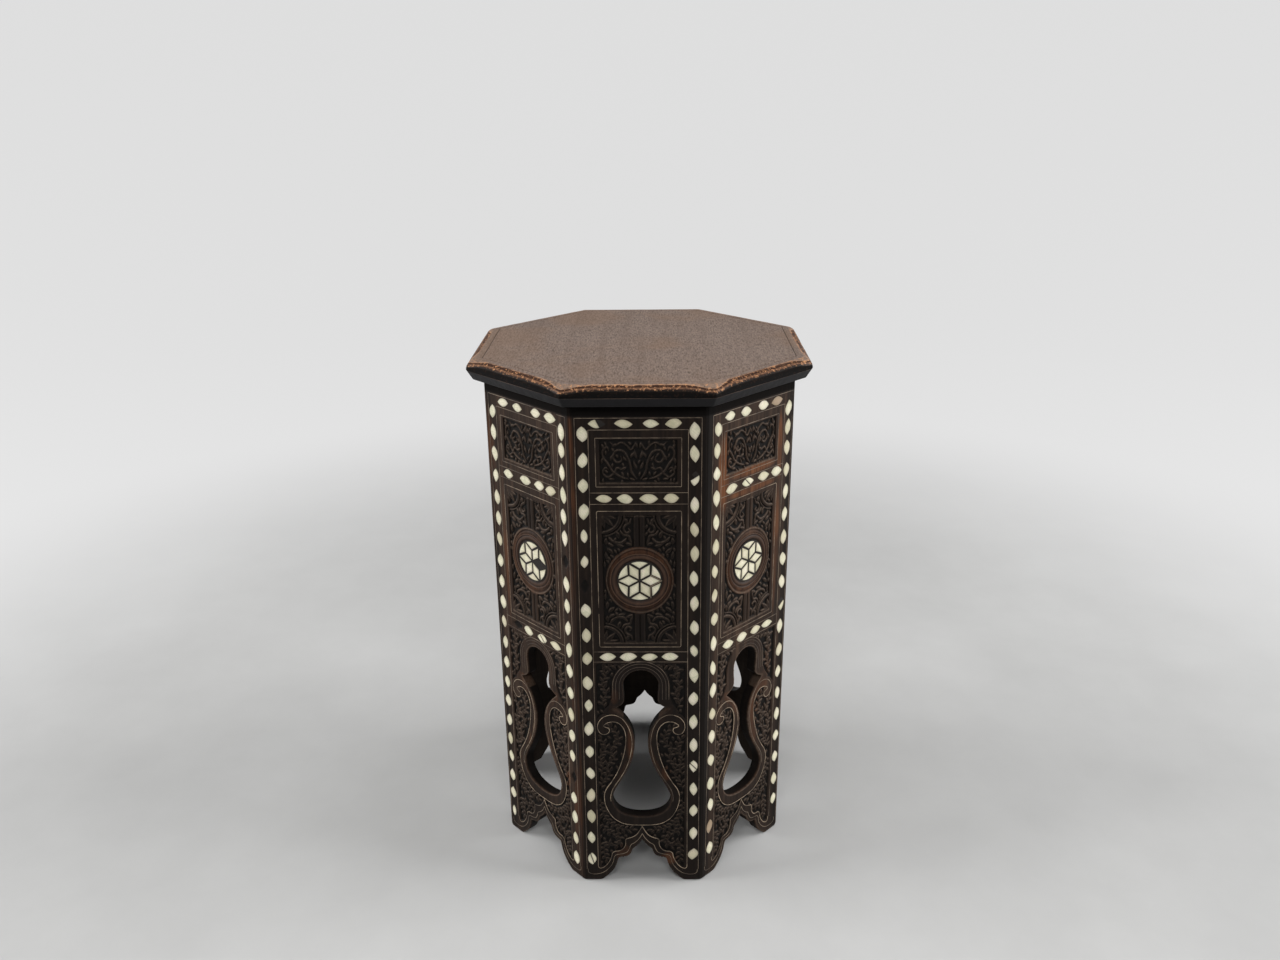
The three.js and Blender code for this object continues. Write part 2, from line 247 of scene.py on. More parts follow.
def spline(points, step=0.8):
    """A smooth curve through given points, with a point about every step."""
    p = np.array(points, float)
    p = np.concatenate([2 * p[:1] - p[1:2], p, 2 * p[-1:] - p[-2:-1]])
    out = []
    for a, b, c, d in zip(p, p[1:], p[2:], p[3:], strict=False):
        count = max(2, int(np.hypot(*(c - b)) / step))
        t = np.linspace(0, 1, count, endpoint=False)[:, None]
        bend, twist = 2 * a - 5 * b + 4 * c - d, 3 * b - a - 3 * c + d
        out.append(0.5 * (2 * b + (c - a) * t + bend * t**2 + twist * t**3))
    return np.concatenate([*out, p[-2:-1]])


def polar(radius, angle):
    return np.array([radius * math.cos(angle), radius * math.sin(angle)])


def around(loop):
    """Neighbours round a closed loop, in pairs."""
    return zip(loop, np.roll(loop, -1, axis=0), strict=True)


def mirrored(points, hand=-1):
    return np.array(points) * (hand, 1)


def whole(half):
    """A closed outline from its +u half, which starts and ends on the centre line."""
    half = np.array(half)
    return np.concatenate([half, mirrored(half[1:-1])[::-1]])


def between(a, b, across, down):
    return (mix(a[0], b[0], across), mix(a[1], b[1], down))


# Outlines that are cut through a board
def opening_outline():
    handles = [
        [CUSP, between(CUSP, LIP, 0, 0.65), LIP],
        [LIP, between(LIP, NECK, 0.39, 0.22), between(LIP, NECK, 0.94, 0.45), NECK],
        [NECK, between(NECK, BELLY, 0, 0.47), (BELLY[0], mix(NECK[1], BELLY[1], 0.8)), BELLY],
        [BELLY, (BELLY[0], mix(BELLY[1], VASE_FOOT, 0.7)), (BELLY[0] * 0.6, VASE_FOOT), (0, VASE_FOOT)],
    ]
    head = arc((0, HEAD_Z), HEAD_R, 90, 0, 24)
    return whole(np.concatenate([head, *(bezier(h, 24) for h in handles), [(0, VASE_FOOT)]]))


ARCH_HALF = [(0, 47), (2.2, 43.6), (5.2, 40), (8.6, 37), (10.2, 32.8), (12.6, 29.4), (16, 28), (21.4, 26.8)]
ARCH_FOOT = [(22.6, 24.4), (23.6, 20), (25.6, 15), (29, 9.8), (34, 5), (38.5, 0.6), (39.2, 0)]
BELOW = -4
OPENING = opening_outline()
ARCH = whole(np.concatenate([spline(ARCH_HALF), spline(ARCH_FOOT), [(39.5, BELOW), (0, BELOW)]]))

# Wires that follow the opening, on the +u side: outside and inside of the scroll band
SCROLL_IN = [
    (32, 170.8), (28.5, 172.8), (24, 173.4), (20, 172), (16.6, 168.5), (14.3, 163), (13.6, 155), (14.4, 146),
    (16.2, 137), (18.5, 129), (21.5, 121), (25, 114), (28.2, 108.5), (31.4, 103.5), (33.4, 98), (33.7, 92),
    (32.6, 85), (30, 78), (26.4, 72), (22, 68), (17, 65.2), (10, 63.8), (0, 63.3),
]
SCROLL_OUT = [
    (28.4, 167), (27.8, 164.4), (29.4, 161.6), (32.8, 160.4), (36.4, 162.4), (38.2, 167.5), (37.2, 173),
    (33.5, 177.8), (28, 180.2), (22.4, 180), (17, 176.9), (13.3, 171.9), (10.6, 166), (8.8, 158.5),
    (8.2, 150), (9.7, 139), (12.2, 129.5), (15.5, 121.5), (19.2, 114.5), (23, 108.3), (25.9, 102.8),
    (27.6, 97.5), (28.1, 93), (27.8, 89.5),
]
# The inner wire's last hook, round the eye of the scroll
SCROLL_HOOK = [(32, 170.8), (32.8, 169), (31, 167.8), (28.4, 167)]

# Wires over the arch: beside the carving, and beside the edge
ARCH_OUT = [
    (0, 61.8), (2.4, 57.2), (5.2, 52.8), (9, 50), (14.2, 48), (15.2, 46.6), (15.6, 41), (17.8, 36.6),
    (21, 34.4), (25.2, 33.8), (27.6, 31.8), (28.2, 28.6), (30, 23.5), (33, 18.5), (36.2, 15.6),
    (39.3, 14.7), (40.8, 16.4), (41, 20),
]
ARCH_IN = [
    (0, 54), (2.8, 48.6), (6.6, 44.2), (10.4, 41.4), (12, 37), (14.4, 33), (18.6, 31.2), (24, 30), (26, 27.4),
    (27.2, 21.6), (29.8, 16.6), (34, 11.8), (39, 8.8), (45.5, 8), (49.8, 9.8), (50.6, 14),
]

# What stays level with the face on the +u side: the tip of the scroll, and the foot of the head's band
SCROLL_TIP = [
    (25, 182.2), (31.4, 181.6), (37.8, 177), (39.8, 169.4), (37.4, 162.2), (32, 159.4), (27.8, 161.4),
    (26.6, 166.6),
]
HEAD_FOOT = [(25.2, 197), (27.6, 190.5), (33, 183), (20, 176), (0, 176)]


def smooth_zones():
    """Closed outlines of what stays level with the face: the bands of the head, the scroll and the arch."""
    head = [(0, 236), *arc((0, HEAD_Z), HEAD_BAND_R, 78, 0, 20), *HEAD_FOOT]
    scroll = [*spline(SCROLL_IN), (0, 176), (20, 183), *spline(SCROLL_TIP), (29.6, 170)]
    arch = [*spline(ARCH_OUT[:-2]), (41, 12), (41, BELOW), (0, BELOW)]
    return [np.array(zone) for zone in (head, scroll, arch)]


class Field:
    """Values on the grid of a board's face, whose columns and rows get closer where there is carving."""

    def __init__(self, cols, rows):
        self.cols = cols
        self.rows = rows
        self.u, self.z = np.meshgrid(cols, rows)

    def beside(self, a, b, reach):
        """The grid within reach of the line from a to b, and how far along it each point lies, 0 to 1."""
        columns = np.searchsorted(self.cols, (min(a[0], b[0]) - reach, max(a[0], b[0]) + reach))
        rows = np.searchsorted(self.rows, (min(a[1], b[1]) - reach, max(a[1], b[1]) + reach))
        w = slice(*rows), slice(*columns)
        along = b - a
        share = ((self.u[w] - a[0]) * along[0] + (self.z[w] - a[1]) * along[1]) / max(along @ along, 1e-9)
        return w, np.clip(share, 0, 1)

    def nearest(self, loops):
        """Distance to the closed loops within reach of them, and the nearest point on them."""
        best = np.full(self.u.shape, FAR)
        near_u, near_z = self.u.copy(), self.z.copy()
        for loop in loops:
            for a, b in around(loop):
                w, share = self.beside(a, b, OUTLINE_REACH)
                pu, pz = a[0] + share * (b - a)[0], a[1] + share * (b - a)[1]
                d = np.hypot(self.u[w] - pu, self.z[w] - pz)
                closer = d < best[w]
                for store, value in ((best, d), (near_u, pu), (near_z, pz)):
                    store[w] = np.where(closer, value, store[w])
        return best, near_u, near_z

    def inside(self, loop):
        """True on the grid points inside a closed loop."""
        a, b = loop, np.roll(loop, -1, axis=0)
        result = np.zeros(self.u.shape, bool)
        for j, z in enumerate(self.rows):
            crossing = (a[:, 1] > z) != (b[:, 1] > z)
            if crossing.any():
                p, q = a[crossing], b[crossing]
                at = np.sort(p[:, 0] + (z - p[:, 1]) * (q[:, 0] - p[:, 0]) / (q[:, 1] - p[:, 1]))
                result[j] = np.searchsorted(at, self.cols) % 2 == 1
        return result

    def signed(self, loops):
        """Distance to the closed loops, positive inside any of them."""
        inside = np.zeros(self.u.shape, bool)
        for loop in loops:
            inside |= self.inside(loop)
        d = np.minimum(self.nearest(loops)[0], OUTLINE_REACH)
        return np.where(inside, d, -d)


def face_columns():
    carved = np.linspace(-FINE_HALF, FINE_HALF, int(2 * FINE_HALF / FINE) + 1)
    stile = np.array([u for u in STILE_US if u < EDGE_U - 0.1] + [EDGE_U])
    return np.concatenate([-stile[::-1], carved, stile])


def face_rows():
    # Heights at which the step from row to row changes, and the step from there on
    steps = (
        (0, 0.5),
        (3, FINE),
        (GROUND_HIGH + FINE_PAST, 1.4),
        (FIELD_LOW - FINE_PAST, FINE),
        (FIELD_HIGH + FINE_PAST, 1.6),
        (PLAQUE_LOW - FINE_PAST, FINE),
        (PLAQUE_HIGH + FINE_PAST, 2.2),
        (BOARD_TOP, 0),
    )
    bands = []
    for (low, step), (high, _) in zip(steps, steps[1:], strict=False):
        bands.append(np.linspace(low, high, max(2, round((high - low) / step)), endpoint=False))
    return np.concatenate([*bands, [BOARD_TOP]])


class Carving:
    """Leaf and scroll work raised from a sunk ground, as the distance to the nearest stroke."""

    def __init__(self, field):
        self.field = field
        self.gap = np.full(field.u.shape, FAR)
        self.vein = np.full(field.u.shape, FAR)

    def stroke(self, points, widths, into=None):
        """A stroke through points, as wide as widths says at each."""
        into = self.gap if into is None else into
        f = self.field
        radii = np.broadcast_to(np.asarray(widths, float) / 2, (len(points),))
        for a, b, ra, rb in zip(points, points[1:], radii, radii[1:], strict=False):
            w, share = f.beside(a, b, max(ra, rb) + 1.6)
            along = b - a
            off_u, off_z = f.u[w] - a[0] - share * along[0], f.z[w] - a[1] - share * along[1]
            into[w] = np.minimum(into[w], np.hypot(off_u, off_z) - mix(ra, rb, share))

    def line(self, points, width):
        """A stem of even width that thins at its ends."""
        path = spline(points, 1.0)
        t = np.linspace(0, 1, len(path))
        self.stroke(path, width * (0.55 + 0.45 * smooth(np.minimum(t, 1 - t) * 8)))

    def leaf(self, root, angle, length, width, bend):
        """A pointed leaf from its root, bent to one side, with a cut vein."""
        t = np.linspace(0, 1, 9)
        heading = angle + bend * (t - 0.3)
        steps = np.stack([np.cos(heading), np.sin(heading)], -1) * length / 8
        path = np.array(root, float) + np.concatenate([[(0, 0)], np.cumsum(steps[:-1], axis=0)])
        self.stroke(path, width * np.sin(np.pi * np.clip(t, 0.04, 0.97) ** 0.8) + 0.25)
        if width > 2.9:
            self.stroke(path[1:7], 0.1, self.vein)

    def height(self):
        """0 on the ground, 1 on top of a stroke, whose edges are rounded."""
        body = smooth((0.25 - self.gap) / 0.55)
        reach = np.clip((-self.gap - 0.1) / 1.1, 0, 1)
        crown = 0.7 + 0.3 * reach * (2 - reach)
        cut = 0.28 * smooth((0.45 - self.vein) / 0.5)
        return np.clip(body * (crown - cut), 0, 1)

    def rim_wear_and_highlight(self):
        """1 along the upper rims of the strokes, and less along the lower ones: rubbing, with a painted
        highlight.
        """
        rise = np.gradient(self.gap, self.field.rows, axis=0)
        return hill(self.gap + 0.5, 0.45) * mix(0.25, 1.0, smooth(rise / 0.7))

    def room(self, u, z):
        """Distance from a point to the nearest stroke."""
        i = min(np.searchsorted(self.field.cols, u), len(self.field.cols) - 1)
        j = min(np.searchsorted(self.field.rows, z), len(self.field.rows) - 1)
        return self.gap[j, i], j, i


VINE_STEM = 1.5
VINE_STEP = 2.5
VINE_LEAF = 5.6
VINE_LEAF_WIDE = 3.0


def vine(carving, points, rng):
    """A stem with leaves on alternate sides, and one at its end."""
    path = spline(points, 0.5)
    carving.line(points, VINE_STEM)
    run = np.concatenate([[0], np.cumsum(np.hypot(*np.diff(path, axis=0).T))])
    for number, at in enumerate(np.arange(VINE_STEP, run[-1], VINE_STEP)):
        k = min(np.searchsorted(run, at), len(path) - 2)
        ahead = math.atan2(*(path[k + 1] - path[k])[::-1])
        hand = 1 if number % 2 else -1
        length = VINE_LEAF * rng.uniform(0.85, 1.15)
        angle = ahead + hand * rng.uniform(0.8, 1.1)
        carving.leaf(path[k], angle, length, VINE_LEAF_WIDE * rng.uniform(0.8, 1.1), -hand * 0.9)
    carving.leaf(path[-1], math.atan2(*(path[-1] - path[-2])[::-1]), VINE_LEAF, VINE_LEAF_WIDE, 0.3)


def fill(carving, zone, rng, box, pitch, clear, width):
    """Small leaves wherever a zone of the ground has nothing within clear of them."""
    u0, z0, u1, z1 = box
    spots = [(u, z) for z in np.arange(z0, z1, pitch) for u in np.arange(u0, u1, pitch)]
    for number in rng.permutation(len(spots)):
        u, z = np.array(spots[number]) + rng.uniform(-0.8, 0.8, 2)
        free, j, i = carving.room(u, z)
        if free > clear and zone[j, i] > 0.9:
            angle = math.pi / 2 * rng.choice([-1, 1]) + rng.uniform(-0.8, 0.8)
            length = rng.uniform(3.4, 4.8)
            root = np.array([u, z]) - polar(0.5 * length, angle)
            carving.leaf(root, angle, length, width, rng.uniform(-0.8, 0.8))


# Strokes of the two panels, in the quarter right of and above the middle. Bands and stems: width, then points
FIELD_CORNER = (FIELD_HALF, FIELD_REACH)
FIELD_BANDS = [
    (5.4, (1.8, 30.6), (1.8, FIELD_REACH - 2.4)),
    (1.3, (0.9, FIELD_REACH - 1.0), (12.2, FIELD_REACH - 1.0)),
    (1.4, *arc(FIELD_CORNER, 18.5, 181, 270, 16)),
    (3.2, *arc(FIELD_CORNER, 15.2, 182, 269, 16)),
]
FIELD_STEMS = [
    (2.6, (24.8, 39.2), (22.2, 36), (18, 34.2), (13.8, 34.6), (10.4, 38.2)),
    (2.2, (6.6, 55.6), (7.8, 51.8), (11.4, 49.6), (12.6, 46), (10.4, 43), (7.6, 44.6), (8.8, 47)),
    (2.3, (6.2, 33), (7.6, 37), (8.6, 40.2), (13, 41.4), (15.4, 45)),
]
PLAQUE_STEMS = [
    (
        2.0, (1.5, -15), (5.5, -9), (7, -1), (11.2, 7.8), (17.2, 9.2), (20.2, 3.8), (17.2, -0.8), (13.2, 1),
        (14, 4.4),
    ),
    (2.0, (8, -15), (14, -13), (20.4, -8.4), (24.6, -1.4), (27.8, 3.2), (28.2, 9), (24.9, 12.2), (23.2, 8.8)),
    (1.8, (12.2, -7.4), (17.2, -5.4), (19.4, -9.8), (24.4, -13.2), (28.4, -9.6), (26.4, -5.2), (23.4, -7.2)),
    (1.6, (2.2, 15.6), (5.6, 10), (9.4, 13.6), (13.6, 15.8), (18.6, 13.4), (22.4, 16.2)),
]
# Leaves: root, heading in radians, length, width, bend
FIELD_LEAVES = [
    (11.4, 55.6, -1.9, 5.4, 2.8, 0.6), (16.8, 38.4, 1.3, 7.0, 3.2, -0.5), (6.2, 31.5, 0.5, 6.4, 2.8, -0.5),
    (12.6, 31.2, 0.2, 6.8, 2.8, 0.4), (21.4, 25, 0.7, 7.4, 3.2, 0.4), (21.0, 31.4, 0.5, 6.2, 2.8, 0.6),
    (26.6, 19.5, 1.4, 7.4, 2.8, 0.3), (28.4, 12.0, 1.5, 6.0, 2.2, 0.2), (27.2, 33, 1.6, 6.0, 3.0, 0.5),
]
FIELD_LEAVES += [
    (*(FIELD_CORNER + polar(0.6, angle)), angle, length, width, 0.1)
    for angle, length, width in ((3.36, 12, 3.4), (3.93, 13.5, 4.0), (4.5, 12, 3.4))
]
# Those of the plaque all have one width and bend
PLAQUE_LEAVES = [
    (0.9, -6.5, 1.1, 8.0), (0.9, 2.4, 1.2, 8.0), (0.6, 11.6, 1.2, 5.0), (6.2, 3.4, 2.2, 6.0),
    (9.6, -4.6, -0.5, 5.6), (9.4, 0.6, 0.9, 5.2), (20.8, 12.4, 2.6, 5.0), (22.0, 0.8, 1.9, 5.6),
    (29.2, -1.8, 1.7, 5.4), (29.0, 14.4, -2.0, 4.6), (2.8, -15.6, 0.3, 4.8), (19.4, -14.9, 0.1, 5.2),
    (24.6, -9.6, 0.9, 3.6),
]
PLAQUE_LEAVES = [(*leaf, 2.2, 0.6) for leaf in PLAQUE_LEAVES]


def panel_strokes(carving, middle, ups, bands, stems, leaves):
    """The drawn strokes of a panel round its middle, mirrored to the left, and down too where ups has -1."""
    for up in ups:
        for hand in (1, -1):

            def at(points, up=up, hand=hand):
                return np.array([(hand * u, middle + up * h) for u, h in points])

            for width, *points in bands:
                carving.stroke(at(points), width)
            for width, *points in stems:
                carving.line(at(points), width)
            for u, h, angle, length, width, bend in leaves:
                turned = math.atan2(up * math.sin(angle), hand * math.cos(angle))
                carving.leaf(at([(u, h)])[0], turned, length, width, bend * hand * up)


# Stems of the vines beside the opening, on the +u side
VINES = [
    [
        (31.5, 186.5), (33.4, 194), (29.6, 202), (33.6, 211), (29.4, 220), (32.6, 227), (24.5, 229),
        (17.5, 229.4),
    ],
    [
        (36.8, 101), (34.6, 111), (28.6, 119), (30.6, 128), (23.8, 136), (27.4, 145), (20.2, 153),
        (22.4, 163), (28, 168),
    ],
    [(36.6, 116), (34.4, 127), (36.4, 137), (31.6, 146), (35.4, 155.5)],
    [(36.8, 93), (36.2, 82), (33.6, 72), (27.4, 63.6), (18, 58.4), (9, 57.6)],
    [(36.6, 66), (31.4, 56), (22.5, 51.5), (20, 43.5), (27.6, 40), (33.6, 44), (35, 33), (33.8, 24)],
]


def spandrel_strokes(carving, zone, rng):
    """Leaf work beside the opening: a vine in each zone, and small leaves between."""
    for hand in (1, -1):
        for points in VINES:
            jitter = rng.uniform(-0.35, 0.35, (len(points), 2))
            vine(carving, mirrored(points + jitter, hand), rng)
        low, high = (8, GROUND_HALF) if hand > 0 else (-GROUND_HALF, -8)
        fill(carving, zone, rng, (low, GROUND_LOW, high, GROUND_HIGH), 3.4, 1.9, 2.5)


def lean(u, z):
    """Where a line of the inlay stands at height z, from its u at the top of the frame and at the floor."""
    return mix(u[0], u[1], 1 - z / FRAME_TOP)


def shift(side, z):
    return lean(SHIFT.get(side, (0.0, 0.0)), z)


def inlay_u(side, hand, u, z):
    return hand * lean(u, z) + shift(side, z)


def pearl_places(side, rng):
    """Every lozenge of a board as (u, z, half width, half length, upright, state)."""
    places = []
    for name, hand in HANDS.items():
        # For boards that have no columns of their own in COLUMNS
        spare = (rng.uniform(436, 440), rng.uniform(22, 34), int(rng.integers(19, 21)), rng.uniform(1.0, 1.1))
        first, last, count, growth = COLUMNS.get((side, name), spare)
        for row in range(count):
            z = first - (first - last) * (row / (count - 1)) ** growth + rng.uniform(-0.7, 0.7)
            u = inlay_u(side, hand, COLUMN_U, z) + rng.uniform(-0.4, 0.4)
            places.append((u, z, True, (side, name, row)))
    jitter = 0.4 if side in RAIL_US else 1.6
    for (name, z), rail in zip(RAILS.items(), RAIL_US.get(side, RAIL_US[0]), strict=True):
        for number, u in enumerate(rail):
            place = (u + rng.uniform(-jitter, jitter), z + rng.uniform(-0.3, 0.3))
            places.append((*place, False, (side, name, number)))
    result = []
    for u, z, upright, key in places:
        wide = PEARL_WIDE * rng.uniform(0.86, 1.1)
        long = PEARL_LONG * rng.uniform(0.9, 1.12)
        state = next((state for state, keys in DAMAGE.items() if key in keys), "whole")
        result.append((u, z, wide, long, upright, state))
    return result


# Meshes
def on_side(side, u, z, out):
    """Points of a board's plane as places in metres."""
    angle = (side - SIDES / 4) * TURN
    c, s = math.cos(angle), math.sin(angle)
    u, z, out = np.broadcast_arrays(u, z, out)
    return np.stack([c * out - s * u, s * out + c * u, z], -1) * MM


def build(name, points, quads, tris, kinds=None, values=None, sharp=40.0):
    """An object from arrays: points, faces with four and with three corners, their materials, and values."""
    quads = np.asarray(quads, np.int32).reshape(-1, 4)
    tris = np.asarray(tris, np.int32).reshape(-1, 3)
    mesh = bpy.data.meshes.new(name)
    mesh.vertices.add(len(points))
    mesh.vertices.foreach_set("co", np.asarray(points, np.float32).ravel())
    corners = np.concatenate([quads.ravel(), tris.ravel()])
    mesh.loops.add(len(corners))
    mesh.loops.foreach_set("vertex_index", corners)
    starts = np.concatenate([np.arange(len(quads)) * 4, len(quads) * 4 + np.arange(len(tris)) * 3])
    mesh.polygons.add(len(starts))
    mesh.polygons.foreach_set("loop_start", starts.astype(np.int32))
    if kinds is not None:
        mesh.polygons.foreach_set("material_index", np.asarray(kinds, np.int32))
    for key, value in (values or {}).items():
        layer = mesh.attributes.new(key, "FLOAT", "POINT")
        layer.data.foreach_set("value", np.asarray(value, np.float32))
    mesh.update(calc_edges=True)
    mesh.validate()
    mesh.polygons.foreach_set("use_smooth", np.ones(len(mesh.polygons), bool))
    mesh.set_sharp_from_angle(angle=math.radians(sharp))
    return stand(name, mesh)


def stand(name, data):
    made = bpy.data.objects.new(name, data)
    bpy.context.scene.collection.objects.link(made)
    return made


def dress(piece, slot, materials, *nodes):
    """Gives a piece its materials and body, and hides the solids that it stands for. The slot is not used."""
    for material in materials:
        piece.data.materials.append(material)
    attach(piece, "root")
    if nodes:
        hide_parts(*nodes)


def join_rings(rings, *ends):
    """Points and faces of joined rings. A fan closes the first round a point, and the last for two ends."""
    count = len(rings[0])
    i = np.arange(count)
    after = (i + 1) % count
    starts = np.arange(len(rings)) * count
    quads = []
    for low, high in zip(starts, starts[1:], strict=False):
        quads.append(np.stack([low + i, low + after, high + after, high + i], -1))
    centre = np.full(count, len(rings) * count)
    tris = [np.stack([centre, after, i], -1)]
    if len(ends) > 1:
        tris.append(np.stack([centre + 1, starts[-1] + i, starts[-1] + after], -1))
    return np.concatenate([*rings, *ends]), np.concatenate(quads), np.concatenate(tris)


# Boards
def cut_face(field):
    """The face's grid, snapped to the outlines that cross it: moved points, depth in the wood, and faces."""
    wood, near_u, near_z = field.nearest([OPENING, ARCH])
    wood = np.where(field.inside(OPENING) | field.inside(ARCH), -wood, wood)
    u, z = field.u.copy(), field.z.copy()
    solid = wood > 0
    snap = np.zeros(solid.shape, bool)
    near = np.abs(wood)
    every, later, sooner = slice(None), slice(1, None), slice(None, -1)
    for a, b in (((every, later), (every, sooner)), ((later,), (sooner,))):
        crossing = solid[a] != solid[b]
        first = near[a] < near[b]
        snap[a] |= crossing & first
        snap[b] |= crossing & ~first
    u[snap], z[snap] = near_u[snap], near_z[snap]
    rank = np.where(snap, 0, np.where(solid, 1, -1))
    number = np.arange(u.size).reshape(u.shape)
    corners = [number[:-1, :-1], number[:-1, 1:], number[1:, 1:], number[1:, :-1]]
    cells = np.stack([c.ravel() for c in corners], -1)
    ranks, depths = rank.ravel()[cells], wood.ravel()[cells]
    off = (ranks < 0).sum(1)
    quads = cells[(off == 0) & (depths.mean(1) > -0.05)]
    tris = []
    for k in range(4):
        keep = [i for i in range(4) if i != k]
        kept = (off == 1) & (ranks[:, k] < 0) & (depths[:, keep].mean(1) > -0.05)
        tris.append(cells[kept][:, keep])
    return u, z, wood, quads, np.concatenate(tris)


def boundary_loops(faces_list):
    """Long loops of the edges that only one face has, in the faces' own direction."""
    edges = np.concatenate([np.stack([f.ravel(), np.roll(f, -1, axis=1).ravel()], -1) for f in faces_list])
    known = set(map(tuple, edges.tolist()))
    after = {}
    for a, b in known:
        if (b, a) not in known:
            after.setdefault(a, []).append(b)
    loops = []
    while after:
        here = min(after)
        loop = []
        while here in after:
            loop.append(here)
            follow = after[here].pop()
            if not after[here]:
                del after[here]
            here = follow
        loops.append(np.array(loop))
    return [loop for loop in loops if len(loop) > 40]


def ground_zone(field, side):
    """Distance into the carved ground beside the opening, positive in it."""
    aside = np.abs(field.u - shift(side, field.z) * 0.6)
    low = np.minimum(GROUND_HALF - aside, np.minimum(field.z - GROUND_LOW, GROUND_HIGH - field.z))
    level = [half for zone in smooth_zones() for half in (zone, mirrored(zone)[::-1])]
    return np.minimum(low, -field.signed(level))


def box_zone(field, half, low, high):
    return np.minimum(half - np.abs(field.u), np.minimum(field.z - low, high - field.z))


def face_height(field, wood, side, pearls):
    """How far the face lies below its plane, and its dirt and painted shade, rubbing, painted rim highlights
    and paleness.
    """
    rng = np.random.default_rng(SEED + side)
    u, z, across = field.u, field.z, np.abs(field.u)
    pale = BOARD_TONES[side]
    # The board's own ring round the medallion is taller than it is wide
    radius = np.hypot(u, z - FIELD_MID)
    radius = np.hypot(u * (1 + RING_TALLER * smooth((radius - SOCKET_R) / 3)), z - FIELD_MID)
    spandrels = ground_zone(field, side)
    plaque = box_zone(field, PLAQUE_HALF, PLAQUE_LOW, PLAQUE_HIGH)
    middle = np.minimum(box_zone(field, FIELD_HALF, FIELD_LOW, FIELD_HIGH), radius - GROOVE_R)
    carving = Carving(field)
    panel_strokes(carving, FIELD_MID, (1, -1), FIELD_BANDS, FIELD_STEMS, FIELD_LEAVES)
    fill(carving, middle, rng, (-FIELD_HALF, FIELD_LOW, FIELD_HALF, FIELD_HIGH), 2.8, 1.5, 2.2)
    panel_strokes(carving, PLAQUE_MID, (1,), [], PLAQUE_STEMS, PLAQUE_LEAVES)
    fill(carving, plaque, rng, (-PLAQUE_HALF, PLAQUE_LOW, PLAQUE_HALF, PLAQUE_HIGH), 2.6, 1.5, 1.8)
    spandrel_strokes(carving, spandrels, rng)
    zone = np.maximum(np.maximum(spandrels, plaque), middle)
    sunk = smooth((zone + 0.1) / 0.6)
    raised = carving.height() * (1 - 0.8 * (hill(u, 0.45) * (middle > 0.4)))
    depth = -CARVE * sunk * (1 - raised)
    # lift near 0 darkens the sunk ground to near black: dirt, and painted shade
    lift = 1 - sunk * (1 - 0.64 * smooth(raised / 0.75))
    # Rims painted lighter, for rubbing and as painted highlight: those of the strokes, and the lower edge of
    # every sunk panel
    lower = smooth((PLAQUE_LOW + 2 - z) / 2) * (plaque > -1) + (z < FIELD_LOW + 1) * (middle > -1)
    rim_wear_and_highlight = np.maximum(carving.rim_wear_and_highlight() * sunk, hill(zone, 0.5) * lower)
    lift = np.maximum(lift, 0.92 * rim_wear_and_highlight)
    # Turned ring of the board round the medallion, darker in its hollow with dirt and painted shade and with
    # a painted highlight on its ridge, and the socket under it
    ring = (radius > SOCKET_R) & (radius < GROOVE_R)
    dip = 0.9 * hill(radius - RING_HOLLOW_R, 0.9) + 0.5 * smooth((radius - GROOVE_START_R) / 0.9)
    depth = np.where(ring, -0.1 - dip, depth)
    lift = np.where(ring, 1 - 0.6 * hill(radius - (RING_HOLLOW_R + 0.1), 0.7), lift)
    rim_wear_and_highlight = np.where(ring, hill(radius - RING_RIDGE_R, 0.5), rim_wear_and_highlight)
    depth = np.where(radius <= SOCKET_R, -SOCKET_DEPTH, depth)
    lift = np.where(radius <= SOCKET_R, 1.0, lift)
    # Sockets of lost lozenges
    for pearl_u, pearl_z, wide, long, upright, state in pearls:
        if state == "missing":
            a, b = (wide, long) if upright else (long, wide)
            inside = 1 - (np.abs(u - pearl_u) / a) ** 1.3 - (np.abs(z - pearl_z) / b) ** 1.3
            hole = smooth(inside * 3)
            depth = depth - 1.3 * hole
            lift = lift * (1 - 0.9 * hole)
    # Rounded edges, and a face that isn't quite flat
    for distance, reach in ((wood, EDGE_ROUND), (EDGE_U - across, CORNER_ROUND), (z, FOOT_ROUND)):
        gone = np.clip(reach - distance, 0, reach)
        depth = depth - 0.7 * (reach - np.sqrt(np.maximum(reach**2 - gone**2, 0)))
    phase = rng.uniform(0, 6, 4)
    wave = np.sin(z / 61 + phase[0]) * np.sin(u / 23 + phase[1])
    ripple = np.sin(z / 9.3 + phase[2]) * np.sin(u / 4.1 + phase[3])
    depth = depth + 0.06 * wave + 0.02 * ripple
    # Wear of the mitres, the opening's rim and neck, the feet, the ring and the scuffs
    corner = np.where(u < 0, CORNER_WEAR[side], CORNER_WEAR[(side + 1) % SIDES])
    lift = lift * (1 + np.minimum(corner, 0) * smooth((across - EDGE_U + 7) / 4))
    neck = smooth((8 - wood) / 3) * smooth((z - NECK_Z[0]) / 30) * (z < NECK_Z[1])
    edges = [
        corner * smooth((2.0 - (EDGE_U - across)) / 2.0),
        mix(0.08, 0.2, pale) * smooth((1.2 - wood) / 1.2),
        mix(0.08, 0.25, pale) * neck,
        0.4 * smooth((5 - z) / 5),
        0.3 * ring,
    ]
    for scuff_u, scuff_z, reach_u, reach_z, strength in SCUFFS.get(side, ()):
        near = 1 - ((u - scuff_u) / reach_u) ** 2 - ((z - scuff_z) / reach_z) ** 2
        edges.append(strength * smooth(near * 1.2))
    # Rims of the openings painted lighter: rubbing, and a painted highlight
    rim_wear_and_highlight = np.maximum(rim_wear_and_highlight, mix(0.3, 0.85, pale) * hill(wood - 0.5, 0.5))
    tone = pale * (1 - smooth((across - 44) / 5)) * mix(0.35, 1, smooth((z - 30) / 160))
    return depth, {"lift": lift, "edge": np.max(edges, axis=0), "rim_wear_and_highlight": rim_wear_and_highlight, "tone": tone}


